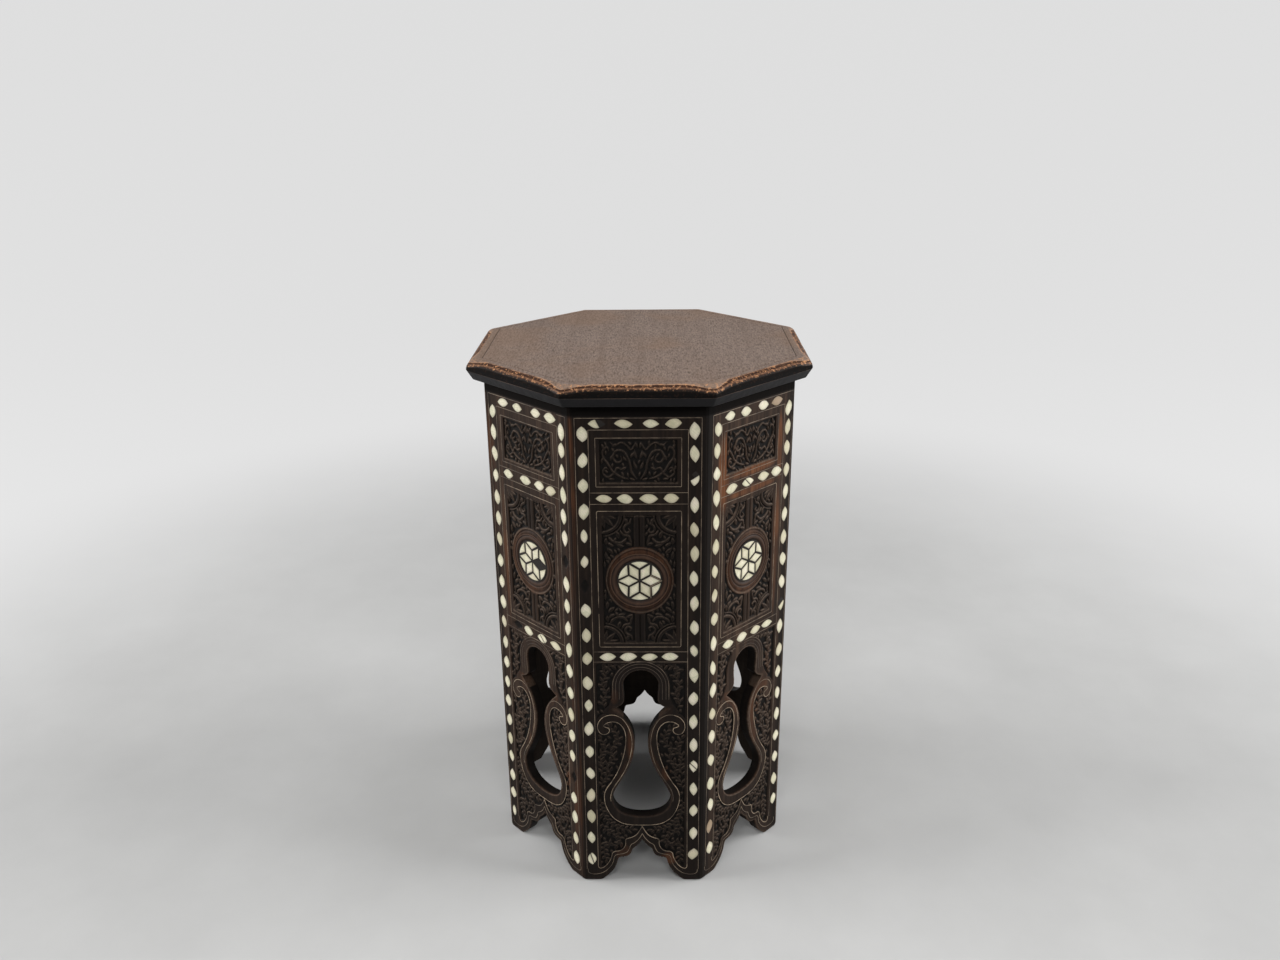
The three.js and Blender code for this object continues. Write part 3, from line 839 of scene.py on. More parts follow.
def carved_board(side, field, face, pearls):
    """One mitred board: the carved face, the walls of its edges and openings, and the bare inner face."""
    u, z, wood, quads, tris = face
    depth, looks = face_height(field, wood, side, pearls)
    u, z = u.ravel(), z.ravel()
    points = [on_side(side, u, z, FACE + depth.ravel())]
    values = {key: [look.ravel()] for key, look in looks.items()}
    count = u.size
    back_edge = BACK / FACE * BOARD_HALF + MITER_CLOSE
    walls, back_loops, back_ids = [], [], []
    for ids in boundary_loops([quads, tris]):
        lu, lz = u[ids], z[ids]
        reach = np.abs(lu)
        beyond = np.clip((reach - WALL_LEAN_U) / (EDGE_U - WALL_LEAN_U), 0, 1)
        lip = (lz > LIP_Z[0]) & (lz < LIP_Z[1]) & (reach > LIP_U[0]) & (reach < LIP_U[1])
        rows = [ids]
        for share in (0.2, 0.6, 1.0):
            out = mix(FACE - EDGE_ROUND, BACK, share)
            inner = mix(EDGE_U, back_edge, (FACE - out) / (FACE - BACK))
            ru = np.sign(lu) * np.where(beyond > 0, mix(WALL_LEAN_U, inner, beyond), reach)
            points.append(on_side(side, ru, lz, out))
            rows.append(np.arange(count, count + len(ids)))
            # Walls of the cuts are painted dark as shade, save at the rubbed lips, whose rims also get a
            # painted highlight
            wall_looks = {
                "lift": np.where(lip, 0.9, 0.28) if share < 1 else 0.15,
                "edge": np.where(lip, 0.5, 0.06 if share < 0.5 else 0.0),
                "rim_wear_and_highlight": np.where(lip, 0.6, 0.0),
                "tone": 0.2 * BOARD_TONES[side],
            }
            for key, value in wall_looks.items():
                values[key].append(np.broadcast_to(value, len(ids)))
            count += len(ids)
        for first, second in zip(rows, rows[1:], strict=False):
            walls.append(np.stack([np.roll(first, -1), first, second, np.roll(second, -1)], -1))
        back_loops.append([Vector((x, y, 0)) for x, y in zip(ru, lz, strict=True)])
        back_ids.append(rows[-1])
    back = np.array(tessellate_polygon(back_loops))
    flat = np.array([(p.x, p.y) for loop in back_loops for p in loop])
    a, b, c = (flat[back[:, k]] for k in range(3))
    turn = (b[:, 0] - a[:, 0]) * (c[:, 1] - a[:, 1]) - (b[:, 1] - a[:, 1]) * (c[:, 0] - a[:, 0])
    back[turn > 0] = back[turn > 0][:, ::-1]
    back = np.concatenate(back_ids)[back[np.abs(turn) > 1e-7]]
    all_quads, all_tris = np.concatenate([quads, *walls]), np.concatenate([tris, back])
    kinds = np.repeat([0, 1], [len(all_quads) + len(tris), len(back)])
    used = np.unique(np.concatenate([all_quads.ravel(), all_tris.ravel()]))
    index = np.full(count, -1)
    index[used] = np.arange(len(used))
    values = {key: np.concatenate(value)[used] for key, value in values.items()}
    points = np.concatenate(points)[used]
    return build(f"carved_board_{side + 1}", points, index[all_quads], index[all_tris], kinds, values, 50)


# Inlay
class Parts:
    """Collects the small closed shapes of one board's inlay into one mesh."""

    def __init__(self, side, stream):
        self.side = side
        self.rng = np.random.default_rng(SEED * stream + side)
        self.points, self.quads, self.tris = [], [], []
        self.values = {"tone": [], "rim": []}
        self.count = 0

    def add(self, points, quads, tris, kind, **values):
        for faces, store in ((quads, self.quads), (tris, self.tris)):
            if len(faces):
                store.append(np.insert(np.asarray(faces) + self.count, 0, kind, axis=1))
        for key, value in values.items():
            self.values[key].append(np.broadcast_to(value, (len(points),)))
        self.points.append(points)
        self.count += len(points)

    def slab(self, outline, low, high, kind, crown, tone):
        """A thin closed piece let into the face, with a softened rim and a low crown."""
        centre = outline.mean(0)
        tilt = self.rng.uniform(-0.012, 0.012, 2)
        rings = []
        for share, height in ((1, low), (1, high - 0.1), (0.9, high), (0.5, high + crown * 0.7)):
            r = centre + (outline - centre) * share if share < 1 else outline
            rings.append(on_side(self.side, r[:, 0], r[:, 1], FACE + height + (r - centre) @ tilt))
        ends = [on_side(self.side, *centre, FACE + h)[None] for h in (low, high + crown)]
        rim = np.append(np.repeat((1.0, 1.0, 0.45, 0.0), len(outline)), (0.0, 0.0))
        self.add(*join_rings(rings, *ends), kind, tone=tone, rim=rim)

    def ribbon(self, path, tone, width=WIRE_WIDTH, proud=WIRE_PROUD, closed=False, kind=0):
        """A flat wire laid in the face along a path."""
        path = np.array(path, float)
        ahead = np.roll(path, -1, axis=0) - np.roll(path, 1, axis=0)
        if not closed:
            ahead[0], ahead[-1] = path[1] - path[0], path[-1] - path[-2]
        ahead /= np.maximum(np.hypot(*ahead.T), 1e-9)[:, None]
        across = np.stack([-ahead[:, 1], ahead[:, 0]], -1) * width / 2
        half = [(1, -0.3), (1, proud - 0.03), (0.6, proud)]
        section = half + [(-k, h) for k, h in reversed(half)]
        points = [on_side(self.side, *(path + across * k).T, FACE + h) for k, h in section]
        grid = np.arange(len(section) * len(path)).reshape(len(section), len(path))
        caps = []
        if closed:
            grid = np.column_stack([grid, grid[:, 0]])
        else:
            start, end = grid[:, 0], grid[:, -1]
            caps = [(start[k + 1], start[k], start[0]) for k in range(1, 5)]
            caps += [(end[k], end[k + 1], end[0]) for k in range(1, 5)]
        quads = [np.stack([a[1:], b[1:], b[:-1], a[:-1]], -1) for a, b in around(grid)]
        self.add(np.concatenate(points), np.concatenate(quads), caps, kind, tone=tone, rim=0.0)

    def make(self, name):
        quads, tris = np.concatenate(self.quads), np.concatenate(self.tris)
        kinds = np.concatenate([quads[:, 0], tris[:, 0]])
        values = {key: np.concatenate(value) for key, value in self.values.items()}
        points = np.concatenate(self.points)
        return build(f"{name}_{self.side + 1}", points, quads[:, 1:], tris[:, 1:], kinds, values, 30)


def lozenge(wide, long, rng):
    """Outline of one cut pearl: two bowed sides that meet in points, with a hand-sawn unevenness."""
    t = np.linspace(-1, 1, 11)[:-1]
    sides = []
    for hand in (1, -1):
        power = rng.uniform(1.8, 2.7)
        bow = wide * (1 - np.abs(t + rng.uniform(-0.14, 0.14) * (1 - t**2)) ** power)
        sides.append(np.stack([hand * bow, hand * t * long], -1))
    outline = np.concatenate(sides)
    outline[:, 0] += rng.uniform(-0.11, 0.11) * outline[:, 1]
    return outline


def clip_above(outline, point, normal):
    """The part of a convex outline on the far side of a line."""
    side = (outline - point) @ normal
    result = []
    for k in range(len(outline)):
        a, b = outline[k - 1], outline[k]
        da, db = side[k - 1], side[k]
        if (da > 0) != (db > 0):
            result.append(a + (b - a) * da / (da - db))
        if db > 0:
            result.append(b)
    return np.array(result)


def board_pearls(side, pearls):
    """The lozenges of one board, each on a thin bed of dark mastic that shows as its outline."""
    parts = Parts(side, 31)
    for u, z, wide, long, upright, state in pearls:
        shape = lozenge(wide, long, parts.rng)
        if not upright:
            shape = mirrored(shape[:, ::-1])
        tone = 0.02 if state == "stained" else parts.rng.uniform(0.25, 1.0)
        if state == "missing":
            continue
        centre = np.array([u, z])
        parts.slab(centre + shape * 1.1, -0.6, 0.03, 1, 0.0, 0.1)
        shape = shape * DAMAGED_SIZE.get(state, (1, 1))
        cuts = [shape]
        if state == "split":
            normal = np.array(SPLIT_AT_FOOT if side == 0 and z < 60 else SPLIT)
            cuts = [clip_above(shape, n * 0.35, n) for n in (normal, -normal)]
        if state == "half":
            normal = np.array(KEPT_UPRIGHT if upright else KEPT_LEVEL)
            cuts = [clip_above(shape, -normal * 0.6, normal)]
        for cut in cuts:
            proud = PEARL_PROUD + parts.rng.uniform(-0.05, 0.05)
            parts.slab(centre + cut, -0.5, proud, 0, 0.12, tone)
    return parts.make("pearl_lozenges")


def rectangle(half, low, high, radius):
    """A closed outline with rounded corners and a point about every 3 mm."""
    corners = [((half - radius, low + radius), -90), ((half - radius, high - radius), 0)]
    corners += [((-half + radius, high - radius), 90), ((-half + radius, low + radius), 180)]
    outline = np.concatenate([arc(centre, radius, start, start + 91, 6) for centre, start in corners])
    result = []
    for a, b in around(outline):
        result.append(np.linspace(a, b, max(2, int(np.hypot(*(b - a)) / 3)), endpoint=False))
    return np.concatenate(result)


def board_wires(side):
    """The metal stringing of one board."""
    parts = Parts(side, 73)

    def level(at, z, count, tone):
        ends = [inlay_u(side, hand, at, z) for hand in (-1, 1)]
        parts.ribbon(np.column_stack([np.linspace(*ends, count), np.full(count, z)]), tone)

    uprights = ((WIRE_OUT, 14, FRAME_TOP, 0.34), (WIRE_IN, 19, FRAME_TOP - 2 * RAIL_HALF, 0.42))
    curves = (SCROLL_IN, SCROLL_OUT, SCROLL_HOOK, ARCH_OUT, ARCH_IN)
    for hand in (-1, 1):
        for at, low, high, tone in uprights:
            z = np.linspace(low, high, 60)
            parts.ribbon(np.column_stack([inlay_u(side, hand, at, z), z]), tone)
        inner, outer, hook, over, below = (spline(mirrored(curve, hand)) for curve in curves)
        turn = int(len(outer) * 0.25)
        parts.ribbon(inner, 0.95)
        parts.ribbon(outer[: turn + 1], 0.95)
        parts.ribbon(outer[turn:], 0.35 if hand > 0 else 0.9)
        parts.ribbon(hook, 0.95)
        parts.ribbon(over, 0.85 if hand > 0 else parts.rng.uniform(0.4, 0.6))
        parts.ribbon(below, 0.5)
    level(WIRE_OUT, FRAME_TOP, 18, 0.4)
    for z in (rail + edge * RAIL_HALF for rail in RAILS.values() for edge in (-1, 1)):
        if z < FRAME_TOP - 1:
            level(WIRE_IN, z, 14, 0.36)
    parts.ribbon(rectangle(*PLAQUE_WIRE, 0.6), 0.38, closed=True)
    parts.ribbon(rectangle(*FIELD_WIRE, 1.5), 0.62, closed=True)
    for radius, tone in HEAD_WIRES:
        foot = np.array([(radius, z) for z in (196, 202, HEAD_Z - 1)])
        path = np.concatenate([foot, arc((0, HEAD_Z), radius, 0, 181, 40), mirrored(foot[::-1])])
        parts.ribbon(path, tone, width=0.4, proud=0.03)
    return parts.make("stringing")


# Medallion: radius, height over the face and wear of each ring of the disc, the wear also a painted highlight
# on the beads
RIM = [
    (DISC_R, -2.4, 0), (DISC_R, -0.25, 0.3), (DISC_R - 0.25, 0.02, 1), (24.0, 0.02, 0.8), (23.7, -0.3, 0),
    (23.3, -0.5, 0), (22.8, -0.3, 0), (22.2, 0.1, 0.35), (21.4, 0.2, 0.5), (20.6, 0.05, 0.3),
    (20.1, -0.3, 0), (19.6, -0.6, 0), (19.15, -0.75, 0), (STAR_R + 0.1, -1.2, 0),
]


def turned_disc(side):
    """The medallion: a turned rim of beads and hollows round a sunk floor."""
    rings = []
    for radius, out, _ in RIM:
        uneven = radius * (1 + 0.002 * np.sin(3 * ROUND + side))
        rings.append(on_side(side, uneven * np.cos(ROUND), FIELD_MID + uneven * np.sin(ROUND), FACE + out))
    ends = [on_side(side, 0.0, FIELD_MID, FACE + RIM[k][1])[None] for k in (0, -1)]
    # Lighter on the raised beads: wear, and a painted highlight
    worn = np.append(np.repeat([wear for _, _, wear in RIM], len(ROUND)), (0, 0))
    return build(f"turned_medallion_{side + 1}", *join_rings(rings, *ends), None, {"edge": worn}, 60)


def inset(outline, amount):
    """A convex outline, counterclockwise, moved in by amount on every side."""
    result = outline
    for a, b in around(outline):
        ahead = (b - a) / max(np.hypot(*(b - a)), 1e-9)
        normal = np.array([-ahead[1], ahead[0]])
        result = clip_above(result, a + normal * amount, normal)
        if len(result) < 3:
            return outline[:0]
    return result


def star_point(radius, degrees):
    return polar(radius, math.radians(degrees))


def star_shapes():
    """Outlines of the twelve pearls of the star: six rhombi, then the six pieces between their tips."""
    tips = range(0, 360, 60)
    shapes = [[(0, 0), (STAR_SIDE_R, tip - 30), (STAR_R, tip), (STAR_SIDE_R, tip + 30)] for tip in tips]
    for tip in tips:
        back = [(STAR_RIM_R, tip + turn) for turn in np.linspace(1.5, 58.5, 12)]
        shapes.append([(STAR_SIDE_R, tip + 30), *back])
    return [np.array([star_point(*place) for place in shape]) for shape in shapes]


def pearl_star(side):
    """The star of one board: pearls on a round bed of mastic, on some boards with metal lines between."""
    parts = Parts(side, 57)
    rng = parts.rng
    middle = np.array([0, FIELD_MID])
    parts.slab(middle + arc((0, 0), STAR_R, 0, 360, 64), -1.25, -0.25, 1, 0.0, 0.1)
    for number, shape in enumerate(star_shapes()):
        if (side, number) in LOST_STAR_PEARLS:
            continue
        outline = inset(shape, STAR_GAP / 2 + rng.uniform(-0.08, 0.12))
        outline = np.array([p for k, p in enumerate(outline) if np.hypot(*(p - outline[k - 1])) > 0.15])
        high, tone = 0.02 + rng.uniform(-0.06, 0.06), rng.uniform(0.36, 0.9)
        parts.slab(middle + outline, -0.7, high, 0, 0.05, tone)
    if side in LINED_STARS:
        for start, end in STAR_LINES:
            path = middle + np.linspace(star_point(STAR_LINE_R, start), star_point(STAR_RIM_R, end), 6)
            parts.ribbon(path, 0.8, 0.35, 0.06, kind=2)
    return parts.make("star_pearls")


# Top board
TOP_ROLL = 8.7
TOP_CHAMFER = 5.0
TOP_CORNER = 3.2
TOP_RINGS = (20, 45, 70, 92, 110, 122)
LINE_HALF = 0.55
LINE_DEPTH = 0.55
# Points along one side of a ring of the top, and steps round one corner
PER_SIDE = 26
PER_CORNER = 4


def octagon(half, corner):
    """An octagon with softened corners, as points in plan, always the same number of them."""
    straight = (half - corner) * math.tan(TURN / 2)
    points = []
    for side in range(SIDES):
        angle = (side - SIDES / 4) * TURN
        normal = polar(1, angle)
        along = np.array([-normal[1], normal[0]])
        points += [normal * half + along * t * straight for t in np.linspace(-1, 1, PER_SIDE)]
        centre = normal * (half - corner) + along * straight
        for k in range(1, PER_CORNER):
            points.append(centre + polar(corner, angle + TURN * k / PER_CORNER))
    return np.array(points)


def top_profile():
    """Rings of the top from the centre of its face, over the roll and under: half width, height, wear."""
    flat, low, spring = TOP_HALF - TOP_ROLL, TOP_HALF - TOP_CHAMFER, TOP_FACE - TOP_ROLL
    rings = [(h, TOP_FACE, 0.0) for h in (*TOP_RINGS, FACE - 6, FACE - 2, FACE - LINE_HALF)]
    rings += [(FACE, TOP_FACE - LINE_DEPTH, -1.0), (FACE + LINE_HALF, TOP_FACE, 0.0)]
    rings += [(mix(FACE + LINE_HALF, flat, 0.5), TOP_FACE, 0.0)]
    for angle in np.linspace(90, 0, 13):
        bend = math.radians(angle)
        wear = 0.02 + 0.98 * smooth((90 - angle) / 16)
        rings.append((flat + TOP_ROLL * math.cos(bend), spring + TOP_ROLL * math.sin(bend), wear))
    rings += [(TOP_HALF - 0.5, spring - 0.9, 0.2), (low + 0.5, TOP_UNDER + 0.8, 0.0), (low, TOP_UNDER, 0.1)]
    return rings + [(h, TOP_UNDER, -0.5) for h in (FACE + 4, FACE, 100, 40)]


def top_board():
    """The octagonal top, with its edge worn and dented."""
    rng = np.random.default_rng(SEED * 101)
    profile = top_profile()
    phases = rng.uniform(0, 6, 12)
    rings, wears, corners = [], [], []
    for half, height, wear in profile:
        ring = octagon(half, TOP_CORNER * half / TOP_HALF)
        angle = np.arctan2(ring[:, 1], ring[:, 0])
        dent = np.zeros(len(ring))
        wears.append(np.full(len(ring), wear))
        if wear > 0.1:
            for k, frequency in enumerate((5, 11, 23, 37, 61, 83)):
                dent += np.sin(frequency * angle + phases[k] + height) / (k + 2)
            dent = -0.28 * wear * np.clip(dent - 0.25, 0, 1.2)
            wears[-1] += 0.1 * np.sin(9 * angle + phases[7])
        out = ring / np.hypot(*ring.T)[:, None]
        rings.append(np.column_stack([ring + out * dent[:, None], height + dent * 0.4]) * MM)
        off = np.abs((angle / TURN) % 1 - 0.5)
        corners.append(1.7 * hill(off, 0.09) - 0.2 * smooth((ring[:, 1] / half + 0.97) / 0.2))
    count = len(rings[0])
    points, quads, tris = join_rings(rings, *([[0, 0, end * MM]] for end in (TOP_FACE, TOP_UNDER)))
    under = len(rings) - 5
    kinds = np.repeat([0, 2, 1, 0, 1], np.array([under - 2, 3, len(rings) - 2 - under, 1, 1]) * count)
    values = {"wear": np.append(wears, (0.0, -0.5)), "corner": np.append(corners, (0.0, 0.0))}
    return build("walnut_top", points, quads[:, ::-1], tris[:, ::-1], kinds, values, 60)


# Materials
def srgb(*screen):
    """A colour given as it looks on screen, 0 to 255."""
    shares = [value / 255 for value in screen]
    return (*(v / 12.92 if v <= 0.04045 else ((v + 0.055) / 1.055) ** 2.4 for v in shares), 1.0)


class Shader:
    """A node material, with short names for the nodes that the finishes here are made of."""

    def __init__(self, name):
        self.material = bpy.data.materials.new(name)
        self.material.use_nodes = True
        self.tree = self.material.node_tree
        self.principled = self.tree.nodes["Principled BSDF"].inputs
        self.coordinates = self.make("TexCoord", "Object", {})

    def put(self, socket, value):
        """Links an input, or sets it. A colour is given as it looks on screen."""
        if isinstance(value, bpy.types.NodeSocket):
            self.tree.links.new(value, socket)
        else:
            socket.default_value = srgb(*value) if socket.type == "RGBA" else value

    def make(self, kind, output, inputs, **settings):
        """The output of a new node, with its settings and inputs."""
        made = self.tree.nodes.new(f"ShaderNode{kind}")
        for key, value in settings.items():
            setattr(made, key, value)
        for key, value in inputs.items():
            self.put(made.inputs[key], value)
        return made.outputs[output]

    def scaled(self, stretch):
        return self.make("Mapping", "Vector", {"Vector": self.coordinates, "Scale": stretch})

    def noise(self, scale, detail=4.0, rough=0.55, stretch=(1, 1, 1), twist=0.0):
        inputs = {"Scale": scale, "Detail": detail, "Roughness": rough, "Distortion": twist}
        return self.make("TexNoise", "Fac", {"Vector": self.scaled(stretch), **inputs})

    def cells(self, scale):
        return self.make("TexVoronoi", "Distance", {"Vector": self.scaled((1, 1, 1)), "Scale": scale})

    def value(self, name):
        return self.make("Attribute", "Fac", {}, attribute_name=name)

    def height(self):
        return self.make("SeparateXYZ", "Z", {"Vector": self.coordinates})

    def span(self, value, low, high, new_low=0.0, new_high=1.0):
        """Runs smoothly from new_low to new_high as value goes from low to high."""
        inputs = {"Value": value, "From Min": low, "From Max": high, "To Min": new_low, "To Max": new_high}
        return self.make("MapRange", "Result", inputs, interpolation_type="SMOOTHSTEP")

    def math(self, operation, a, b):
        return self.make("Math", 0, {0: a, 1: b}, operation=operation)

    def times(self, a, b):
        return self.math("MULTIPLY", a, b)

    def plus(self, a, b):
        return self.math("ADD", a, b)

    def blend(self, share, a, b):
        return self.make("Mix", 2, {0: share, 6: a, 7: b}, data_type="RGBA")

    def ramp(self, value, *stops):
        """Colours along value. Each stop is a place from 0 to 1, then its colour."""
        made = self.tree.nodes.new("ShaderNodeValToRGB")
        self.put(made.inputs[0], value)
        elements = made.color_ramp.elements
        while len(elements) < len(stops):
            elements.new(0.5)
        for element, (place, *colour) in zip(elements, stops, strict=True):
            element.position = place
            element.color = srgb(*colour)
        return made.outputs[0]

    def bump(self, height, strength, distance):
        inputs = {"Height": height, "Strength": strength, "Distance": distance}
        self.put(self.principled["Normal"], self.make("Bump", "Normal", inputs))

    def finish(self, colour, roughness, specular=0.5, **others):
        """The material with its main inputs, and others by name, with _ for a space."""
        self.put(self.principled["Base Color"], colour)
        self.put(self.principled["Roughness"], roughness)
        self.principled["Specular IOR Level"].default_value = specular
        for key, value in others.items():
            self.put(self.principled[key.replace("_", " ")], value)
        return self.material


def carved_walnut():
    """Dark oiled walnut: vertical grain, black dirt and painted shade in the carving, red-brown where hands
    have rubbed it.
    """
    s = Shader("carved_walnut")
    grain = s.noise(230, 5, 0.6, (1, 1, 0.045), 0.6)
    figure = s.noise(26, 4, 0.55, (1, 1, 0.16), 0.8)
    patches = s.noise(13, 3, 0.5)
    fine = s.noise(420, 3)
    tone = s.value("tone")
    dark = s.ramp(grain, (0.3, 17, 12, 9), (0.5, 26, 19, 15), (0.72, 42, 32, 25))
    light = s.ramp(grain, (0.3, 36, 27, 21), (0.5, 55, 42, 34), (0.72, 76, 59, 48))
    base = s.blend(s.times(tone, s.span(patches, 0.3, 0.6, 0.7, 1.0)), dark, light)
    base = s.blend(s.span(figure, 0.4, 0.7, 0.0, 0.45), base, (25, 19, 15))
    rubbed = s.ramp(grain, (0.3, 62, 38, 25), (0.62, 122, 78, 51))
    colour = s.blend(s.times(s.value("edge"), s.span(patches, 0.36, 0.6, 0.25, 1.0)), base, rubbed)
    # Rims painted lighter: rubbing, and a painted highlight
    rim = s.times(s.value("rim_wear_and_highlight"), s.span(fine, 0.35, 0.6, 0.4, 0.95))
    colour = s.blend(rim, colour, s.blend(tone, (84, 72, 62), (112, 96, 83)))
    # Near black where lift is low: dirt and painted shade in the carving, painted shade on the walls of the
    # cuts
    ground = s.ramp(s.noise(300, 3), (0.35, 9, 7, 6), (0.7, 17, 13, 10))
    colour = s.blend(s.span(s.value("lift"), 0.0, 0.95), ground, colour)
    # Painted shade of the top's overhang over the boards' upper margin, which is rougher there too
    overhang_shade = s.span(s.height(), OVERHANG_SHADE_Z[0] * MM, OVERHANG_SHADE_Z[1] * MM)
    colour = s.blend(s.times(overhang_shade, 0.95), colour, (10, 8, 7))
    s.bump(s.plus(grain, s.times(fine, 0.5)), 0.35, 0.0004)
    rough = s.math("MAXIMUM", s.span(patches, 0.3, 0.7, 0.58, 0.72), s.times(overhang_shade, 0.98))
    return s.finish(colour, rough, 0.11)


def turned_walnut():
    """The redder wood of the medallion's rim."""
    s = Shader("turned_walnut")
    grain = s.noise(260, 5, 0.6, (1, 1, 0.06), 0.5)
    colour = s.ramp(grain, (0.28, 32, 21, 15), (0.52, 48, 33, 25), (0.75, 66, 46, 35))
    colour = s.blend(s.span(s.noise(60, 3), 0.45, 0.65, 0.0, 0.5), colour, (34, 24, 18))
    # Lighter on the beads: wear, and a painted highlight
    colour = s.blend(s.times(s.value("edge"), 0.55), colour, (104, 78, 62))
    s.bump(grain, 0.25, 0.0003)
    return s.finish(colour, s.span(s.noise(40), 0.3, 0.7, 0.48, 0.62), 0.14)


def mother_of_pearl():
    """Pearl: cream with green and rose casts, growth lines, a grimy rim."""
    s = Shader("mother_of_pearl")
    tone = s.value("tone")
    clouds = s.noise(150, 3, 0.5, (1, 1, 0.6), 1.2)
    body = s.ramp(clouds, (0.3, 214, 211, 180), (0.5, 236, 230, 202), (0.7, 244, 234, 214))
    inputs = {"Vector": s.coordinates, "Scale": 260, "Distortion": 5.0, "Detail": 2.0}
    lines = s.make("TexWave", "Fac", inputs, wave_type="BANDS", bands_direction="DIAGONAL")
    body = s.blend(s.span(lines, 0.55, 1.0, 0.0, 0.25), body, (190, 190, 156))
    body = s.blend(s.span(tone, 0.25, 0.6, 0.45, 0.0), body, (184, 172, 134))
    body = s.blend(s.span(tone, 0.0, 0.06, 0.85, 0.0), body, (126, 76, 48))
    colour = s.blend(s.times(s.value("rim"), 0.65), body, (112, 96, 66))
    spots = s.span(s.cells(560), 0.05, 0.2, 0.75, 0.0)
    colour = s.blend(s.times(spots, s.span(clouds, 0.47, 0.57)), colour, (122, 104, 70))
    s.bump(lines, 0.12, 0.0002)
    rough = s.span(clouds, 0.3, 0.7, 0.3, 0.45)
    return s.finish(colour, rough, Coat_Weight=0.25, Coat_Roughness=0.2)


def mastic():
    """Black-brown mastic round the inlay."""
    s = Shader("dark_mastic")
    grit = s.noise(500, 3)
    s.bump(grit, 0.4, 0.0003)
    colour = s.ramp(grit, (0.35, 14, 11, 9), (0.7, 34, 26, 20))
    return s.finish(colour, s.span(grit, 0.3, 0.7, 0.6, 0.8), 0.3)


def stringing_metal():
    """Thin tarnished stringing, bright where it is rubbed and brown where dirt covers it."""
    s = Shader("stringing_metal")
    patches = s.noise(90, 4, 0.6)
    shine = s.times(s.span(patches, 0.36, 0.58, 0.2, 1.0), s.value("tone"))
    colour = s.blend(shine, (46, 34, 27), (186, 165, 140))
    s.bump(s.noise(700, 2), 0.2, 0.0001)
    return s.finish(colour, s.span(patches, 0.3, 0.7, 0.38, 0.58), Metallic=0.2)


def top_walnut():
    """The top: dull grey-brown, fine pores running front to back, and a worn copper and black edge with
    painted shade, highlight and glints.
    """
    s = Shader("top_walnut")
    wear = s.value("wear")
    pores = s.noise(760, 3, 0.7, (1, 0.22, 1), 0.15)
    grain = s.noise(110, 5, 0.6, (1, 0.04, 1), 0.4)
    clouds = s.noise(9, 3, 0.5)
    base = s.ramp(pores, (0.32, 80, 65, 56), (0.47, 121, 104, 94), (0.64, 144, 125, 112))
    base = s.blend(s.span(grain, 0.4, 0.75, 0.0, 0.4), base, (100, 82, 71))
    base = s.blend(s.span(clouds, 0.46, 0.6, 0.0, 0.4), base, (132, 107, 88))
    specks = s.times(s.span(s.cells(95), 0.02, 0.05, 1.0, 0.0), s.span(s.noise(38, 2), 0.6, 0.68))
    base = s.blend(specks, base, (208, 194, 172))
    speckle = s.noise(420, 5, 0.75)
    # Streaks along the roll: its height, pushed up and down a little and raised at the corners
    streaky = s.plus(s.height(), s.times(s.math("SUBTRACT", s.noise(110, 4, 0.6), 0.5), 1.1 * MM))
    streaky = s.plus(streaky, s.times(s.value("corner"), 1.4 * MM))
    level = s.math("DIVIDE", s.math("SUBTRACT", streaky, (TOP_FACE - TOP_ROLL) * MM), TOP_ROLL * MM)
    # Colours up the roll: painted shade on its lower part, worn copper bands, and a light line at the
    # shoulder that is wear and painted highlight
    shadow = ((0.0, 13, 12, 12), (0.3, 9, 7, 6), (0.56, 16, 10, 7), (0.63, 34, 21, 13), (0.69, 84, 58, 43))
    copper = ((0.76, 126, 92, 70), (0.83, 66, 42, 30), (0.9, 46, 27, 18), (0.945, 92, 60, 43))
    shine = ((0.975, 188, 150, 121), (1.0, 140, 118, 103))
    worn = s.ramp(level, *shadow, *copper, *shine)
    # Painted glints on the roll
    glints = s.times(s.span(speckle, 0.55, 0.61), s.span(level, 0.5, 0.68))
    worn = s.blend(glints, worn, (206, 150, 106))
    worn = s.blend(s.span(speckle, 0.38, 0.46, 0.6, 0.0), worn, (42, 28, 21))
    on_roll = s.span(wear, 0.05, 0.6)
    colour = s.blend(on_roll, base, worn)
    colour = s.blend(s.span(wear, -0.9, -0.25, 0.92, 0.0), colour, (34, 25, 20))
    s.bump(s.plus(pores, s.times(grain, 0.7)), 0.3, 0.0004)
    dull = s.times(s.span(level, 0.45, 0.7, 0.95, 0.0), on_roll)
    return s.finish(colour, s.math("MAXIMUM", s.span(clouds, 0.3, 0.7, 0.52, 0.64), dull), 0.13)


def dark_edge():
    """The black chamfer under the top's roll, with enough polish left to catch the floor, and a grey that is
    partly a painted reflection of it.
    """
    s = Shader("dark_edge")
    wear = s.noise(200, 4, 0.6)
    s.bump(wear, 0.3, 0.0003)
    # Grey-black: the black finish, partly lightened as a painted reflection of the floor
    colour = s.ramp(wear, (0.35, 20, 19, 21), (0.6, 28, 27, 29), (0.8, 46, 41, 40))
    return s.finish(colour, s.span(wear, 0.3, 0.7, 0.5, 0.65), 0.16)


def shade_darkened_bare_wood():
    """Unpolished wood inside the drum, painted dark as the shade inside it."""
    s = Shader("shade_darkened_bare_wood")
    grain = s.noise(150, 5, 0.65, (1, 1, 0.05), 0.6)
    saw = s.noise(320, 3, 0.5, (0.2, 0.2, 1))
    # Dark brown: painted shade over the wood's own colour
    colour = s.ramp(grain, (0.3, 24, 18, 14), (0.55, 38, 30, 24), (0.75, 52, 41, 32))
    colour = s.blend(s.span(s.noise(14, 3), 0.4, 0.65, 0.0, 0.5), colour, (26, 20, 16))
    s.bump(s.plus(grain, s.times(saw, 0.6)), 0.5, 0.0005)
    return s.finish(colour, s.span(saw, 0.3, 0.7, 0.78, 0.9), 0.15)


